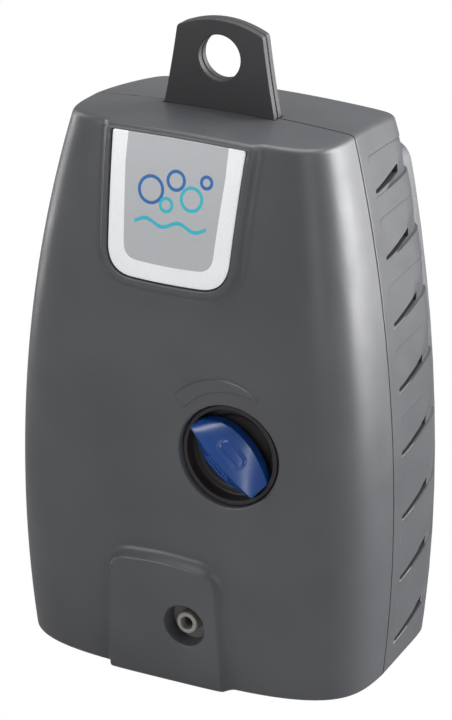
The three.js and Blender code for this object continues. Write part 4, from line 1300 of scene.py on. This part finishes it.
def label_print(name, dark, light, rough, motif=False):
    """Printed film: fine metallic speckle under a thin gloss, with drifting bubbles if asked."""
    finish = Finish(name)
    speck = finish.noise(0.22, 2, 0.7)
    ground = finish.blend(finish.spread(speck, 0, 1), dark, light)
    if motif:
        for x, z, radius, colour in BUBBLES:
            ring = bubble_mask(finish, x, z, radius)
            ground = finish.blend(ring, ground, colour)
        wave = wave_mask(finish)
        ground = finish.blend(wave, ground, "2aa6b8")
    finish.colour(ground)
    finish.roughness(finish.spread(finish.noise(4, 2), rough - 0.04, rough + 0.05))
    finish.bump((speck, 0.004))
    finish.set(Metallic=0.25, Coat_Weight=0.25, Coat_Roughness=0.2)
    return finish.material


BUBBLES = (
    (-5.6, 124.3, 3.0, "1f5f9e"),
    (0.6, 127.2, 2.1, "1f5f9e"),
    (4.9, 123.6, 2.6, "2aa6b8"),
    (-1.4, 121.4, 1.5, "2aa6b8"),
    (8.3, 127.9, 1.3, "1f5f9e"),
)


def drawn_line(finish, distance, half_width):
    """1 within half_width of a line and 0 beyond it, with a soft edge."""
    past_edge = finish.math("SUBTRACT", distance, half_width)
    return finish.math("SUBTRACT", 1.0, finish.math("MULTIPLY", past_edge, 12, True))


def bubble_mask(finish, x, z, radius):
    """1 on a thin printed ring, 0 elsewhere."""
    across, _, up = finish.split()
    dx = finish.math("SUBTRACT", across, x)
    dz = finish.math("SUBTRACT", up, z)
    distance = finish.math("SQRT", finish.math("ADD", finish.math("MULTIPLY", dx, dx),
                                               finish.math("MULTIPLY", dz, dz)))
    off_ring = finish.math("ABSOLUTE", finish.math("SUBTRACT", distance, radius))
    return drawn_line(finish, off_ring, 0.34)


def wave_mask(finish):
    """1 on a gentle printed wave under the bubbles."""
    across, _, up = finish.split()
    swing = finish.math("MULTIPLY", finish.math("SINE", finish.math("MULTIPLY", across, 0.75)), 0.7)
    off_line = finish.math("ABSOLUTE", finish.math("SUBTRACT", finish.math("SUBTRACT", up, 117.0), swing))
    line = drawn_line(finish, off_line, 0.4)
    reach = finish.math("SUBTRACT", 9.3, finish.math("ABSOLUTE", across))
    return finish.math("MULTIPLY", line, finish.math("MULTIPLY", reach, 6, True))


def metal(name, dark, light, rough):
    """Plated or bare metal with fine streaks and a little dulling."""
    finish = Finish(name)
    dull = finish.noise(2.5, 4)
    finish.colour(finish.blend(finish.spread(dull, 0, 1), dark, light))
    finish.roughness(finish.spread(finish.noise(0.8, 3), rough - 0.06, rough + 0.1))
    finish.bump((finish.noise(0.12, 1), 0.004))
    finish.set(Metallic=1.0)
    return finish.material


def striped(name, dark, light, rough, axis, pitch, depth, metallic):
    """Rows of wire or stacked sheets: a wave along one axis, with painted shade in its valleys."""
    finish = Finish(name)
    along = finish.split()[axis]
    wave = finish.math("ABSOLUTE", finish.math("SINE", finish.math("MULTIPLY", along, math.pi / pitch)))
    worn = finish.noise(1.6, 3)
    # painted shade: the colour darkens in each valley of the wave and lightens on the crests, spread at random by
    # the worn noise
    valley_shade = finish.math("MULTIPLY", wave, finish.spread(worn, 0.7, 1.1), True)
    finish.colour(finish.blend(valley_shade, dark, light))
    finish.roughness(finish.spread(worn, rough - 0.06, rough + 0.08))
    finish.bump((wave, depth))
    finish.set(Metallic=metallic)
    return finish.material


def felted(name):
    """Needled fibres: crossing streaks of noise over soft lumps, with a sheen."""
    finish = Finish(name)
    fibres = finish.noise(0.16, 5, 0.75)
    lumps = finish.noise(1.8, 3)
    finish.colour(finish.blend(finish.spread(fibres, 0, 1), "b9b4a6", "efece2"))
    finish.bump((lumps, 0.25), (fibres, 0.12))
    finish.set(Roughness=0.95, Sheen_Weight=0.4)
    return finish.material


def circuit(name):
    """Green solder mask with the faint relief of tracks."""
    finish = Finish(name)
    grid = finish.nodes.new("ShaderNodeTexBrick")
    grid.inputs["Scale"].default_value = 0.22
    grid.inputs["Mortar Size"].default_value = 0.05
    finish.links.new(finish.place, grid.inputs["Vector"])
    finish.colour(finish.blend(grid.outputs["Fac"], "17512c", "2c7a45"))
    finish.bump((grid.outputs["Fac"], 0.03))
    finish.set(Roughness=0.35, Coat_Weight=0.4)
    return finish.material


def silicone(name):
    finish = Finish(name)
    finish.colour(finish.blend(finish.spread(finish.noise(5, 2), 0, 1), "b9bebb", "d3d8d5"))
    finish.bump((finish.noise(1.0, 2), 0.01))
    finish.set(Roughness=0.42, Transmission_Weight=0.25, Subsurface_Weight=0.2, Subsurface_Scale=0.001)
    return finish.material


def make_materials():
    return {
        "casing": moulded("charcoal_plastic", "3f4043", "454649", 0.38, 0.32, 0.010),
        "hanger": moulded("black_plastic", "2e2e30", "343437", 0.55, 0.4, 0.014),
        "dish": moulded("brown_black_plastic", "1f1b1c", "272324", 0.45),
        "nozzle": moulded("nozzle_plastic", "6a6864", "7b7975", 0.3, 0.3, 0.006),
        "knob": moulded("blue_plastic", "03306c", "063a7a", 0.24, 0.5, 0.003, coat=0.5),
        "dark_plastic": moulded("dark_plastic", "1a1a1c", "222224", 0.5),
        "nylon": moulded("natural_nylon", "c9c8c0", "dddcd5", 0.45, 0.6, 0.008),
        "label_border": label_print("silver_print", "d6d8da", "e6e8ea", 0.34),
        "label_field": label_print("grey_print", "a0a2a5", "abadb0", 0.4, motif=True),
        "rubber": rubbery("black_rubber", "141415", "202021"),
        "cable": rubbery("cable_jacket", "18181a", "232325", 0.5),
        "core_brown": rubbery("brown_sheath", "4b2d1b", "5c3922", 0.5),
        "core_blue": rubbery("blue_sheath", "1d3f8c", "2750a4", 0.5),
        "steel": metal("zinc_steel", "a4a7ab", "c9ccd0", 0.32),
        "magnet": metal("dark_ferrite", "35373a", "4a4c50", 0.5),
        "iron": striped("stacked_iron", "3c3d40", "7d7f83", 0.42, 1, 0.5, 0.05, 1.0),
        "copper": striped("enamelled_wire", "6d3216", "c8703a", 0.32, 0, 0.35, 0.12, 1.0),
        "board": circuit("solder_mask"),
        "felt": felted("needled_felt"),
        "silicone": silicone("silicone_rubber"),
    }


def finish_inner_parts(materials):
    """Every CAD node that stays visible inside the casing gets its finish from its record slot."""
    slots = {part["node"]: part["material_slot"] for part in frame["record"]["subparts"]}
    for name, node in frame["nodes"].items():
        if node.hide_render:
            continue
        material = materials["magnet"] if name == "armature_magnet" else materials[slots[name]]
        node.data.materials.clear()
        node.data.materials.append(material)


# ---------------------------------------------------------------- studio


def build_floor():
    """White floor that only bounces light: the camera and reflections don't see it."""
    mesh = bpy.data.meshes.new("floor")
    size = 6
    corners = [(-size, -size, 0), (size, -size, 0), (size, size, 0), (-size, size, 0)]
    mesh.from_pydata(corners, [], [(0, 1, 2, 3)])
    floor = bpy.data.objects.new("floor", mesh)
    bpy.context.scene.collection.objects.link(floor)
    finish = Finish("pale_floor")
    finish.colour(finish.blend(finish.spread(finish.noise(300, 2), 0, 1), "fafafa", "ffffff"))
    finish.set(Roughness=0.9, Specular_IOR_Level=0.1)
    mesh.materials.append(finish.material)
    floor.visible_camera = False
    floor.visible_glossy = False


def area_light(name, place, target, size, watts, colour=(1, 1, 1)):
    light = bpy.data.lights.new(name, "AREA")
    light.shape = "RECTANGLE"
    light.size, light.size_y = size
    light.energy = watts
    light.color = colour
    lamp = bpy.data.objects.new(name, light)
    lamp.location = Vector(place)
    lamp.rotation_mode = "QUATERNION"
    lamp.rotation_quaternion = (Vector(target) - Vector(place)).to_track_quat("-Z", "Y")
    bpy.context.scene.collection.objects.link(lamp)
    return lamp


WORLD_LIGHT = 0.32


def build_world():
    """White to the camera, a softer grey to everything that it lights."""
    world = bpy.data.worlds.new("studio")
    world.use_nodes = True
    bpy.context.scene.world = world
    nodes, links = world.node_tree.nodes, world.node_tree.links
    background = nodes["Background"]
    path = nodes.new("ShaderNodeLightPath")
    level = nodes.new("ShaderNodeMapRange")
    level.inputs["To Min"].default_value = WORLD_LIGHT
    level.inputs["To Max"].default_value = 1.0
    links.new(path.outputs["Is Camera Ray"], level.inputs["Value"])
    links.new(level.outputs["Result"], background.inputs["Strength"])
    background.inputs["Color"].default_value = (1, 1, 1, 1)


CAMERA_AZIMUTH = 27.67
CAMERA_ELEVATION = 21.43
CAMERA_DISTANCE = 0.8829
CAMERA_TARGET = Vector((0.0007, PARTING_Y * MM + 0.0016, 0.0752))
CAMERA_ROLL = 0.010
CAMERA_LENS = 186.7


def build_camera():
    azimuth, elevation = math.radians(CAMERA_AZIMUTH), math.radians(CAMERA_ELEVATION)
    back = Vector((math.sin(azimuth) * math.cos(elevation), -math.cos(azimuth) * math.cos(elevation),
                   math.sin(elevation)))
    data = bpy.data.cameras.new("camera")
    data.lens = CAMERA_LENS
    data.sensor_width = 36
    data.clip_start, data.clip_end = 0.05, 50
    camera = bpy.data.objects.new("camera", data)
    camera.location = CAMERA_TARGET + back * CAMERA_DISTANCE
    camera.rotation_mode = "QUATERNION"
    camera.rotation_quaternion = (-back).to_track_quat("-Z", "Y") @ Quaternion((0, 0, 1), CAMERA_ROLL)
    bpy.context.scene.collection.objects.link(camera)
    bpy.context.scene.camera = camera


def build_studio():
    build_floor()
    build_world()
    aim = (0, -0.03, 0.07)
    area_light("right_softbox", (0.7, 0.55, 0.3), aim, (0.5, 0.9), 21)
    area_light("corner_strip", (0.69, -0.58, 0.3), aim, (0.04, 0.8), 1.2)
    area_light("left_strip", (-0.89, 0.16, 0.25), aim, (0.12, 0.8), 3)
    area_light("top_softbox", (0.0, 0.1, 1.0), aim, (0.8, 0.8), 10)
    area_light("front_fill", (-0.6, -0.95, 0.6), aim, (0.6, 0.6), 5)
    bpy.context.scene.view_settings.view_transform = "Standard"


# ---------------------------------------------------------------- assembly

materials = make_materials()
front_cover(materials)
rear_cover(materials)
label_plate(materials)
outlet_nozzle(materials)
filter_cover(materials)
filter_felt(materials)
hanger_plate("hanger_front_plate", materials)
hanger_plate("hanger_rear_plate", materials)
regulator_knob(materials)
regulator_dish(materials)
for k in range(4):
    foot(k, materials)
    case_screw(k, materials)
strain_relief(materials)
mains_cable(materials)
finish_inner_parts(materials)
build_studio()
build_camera()
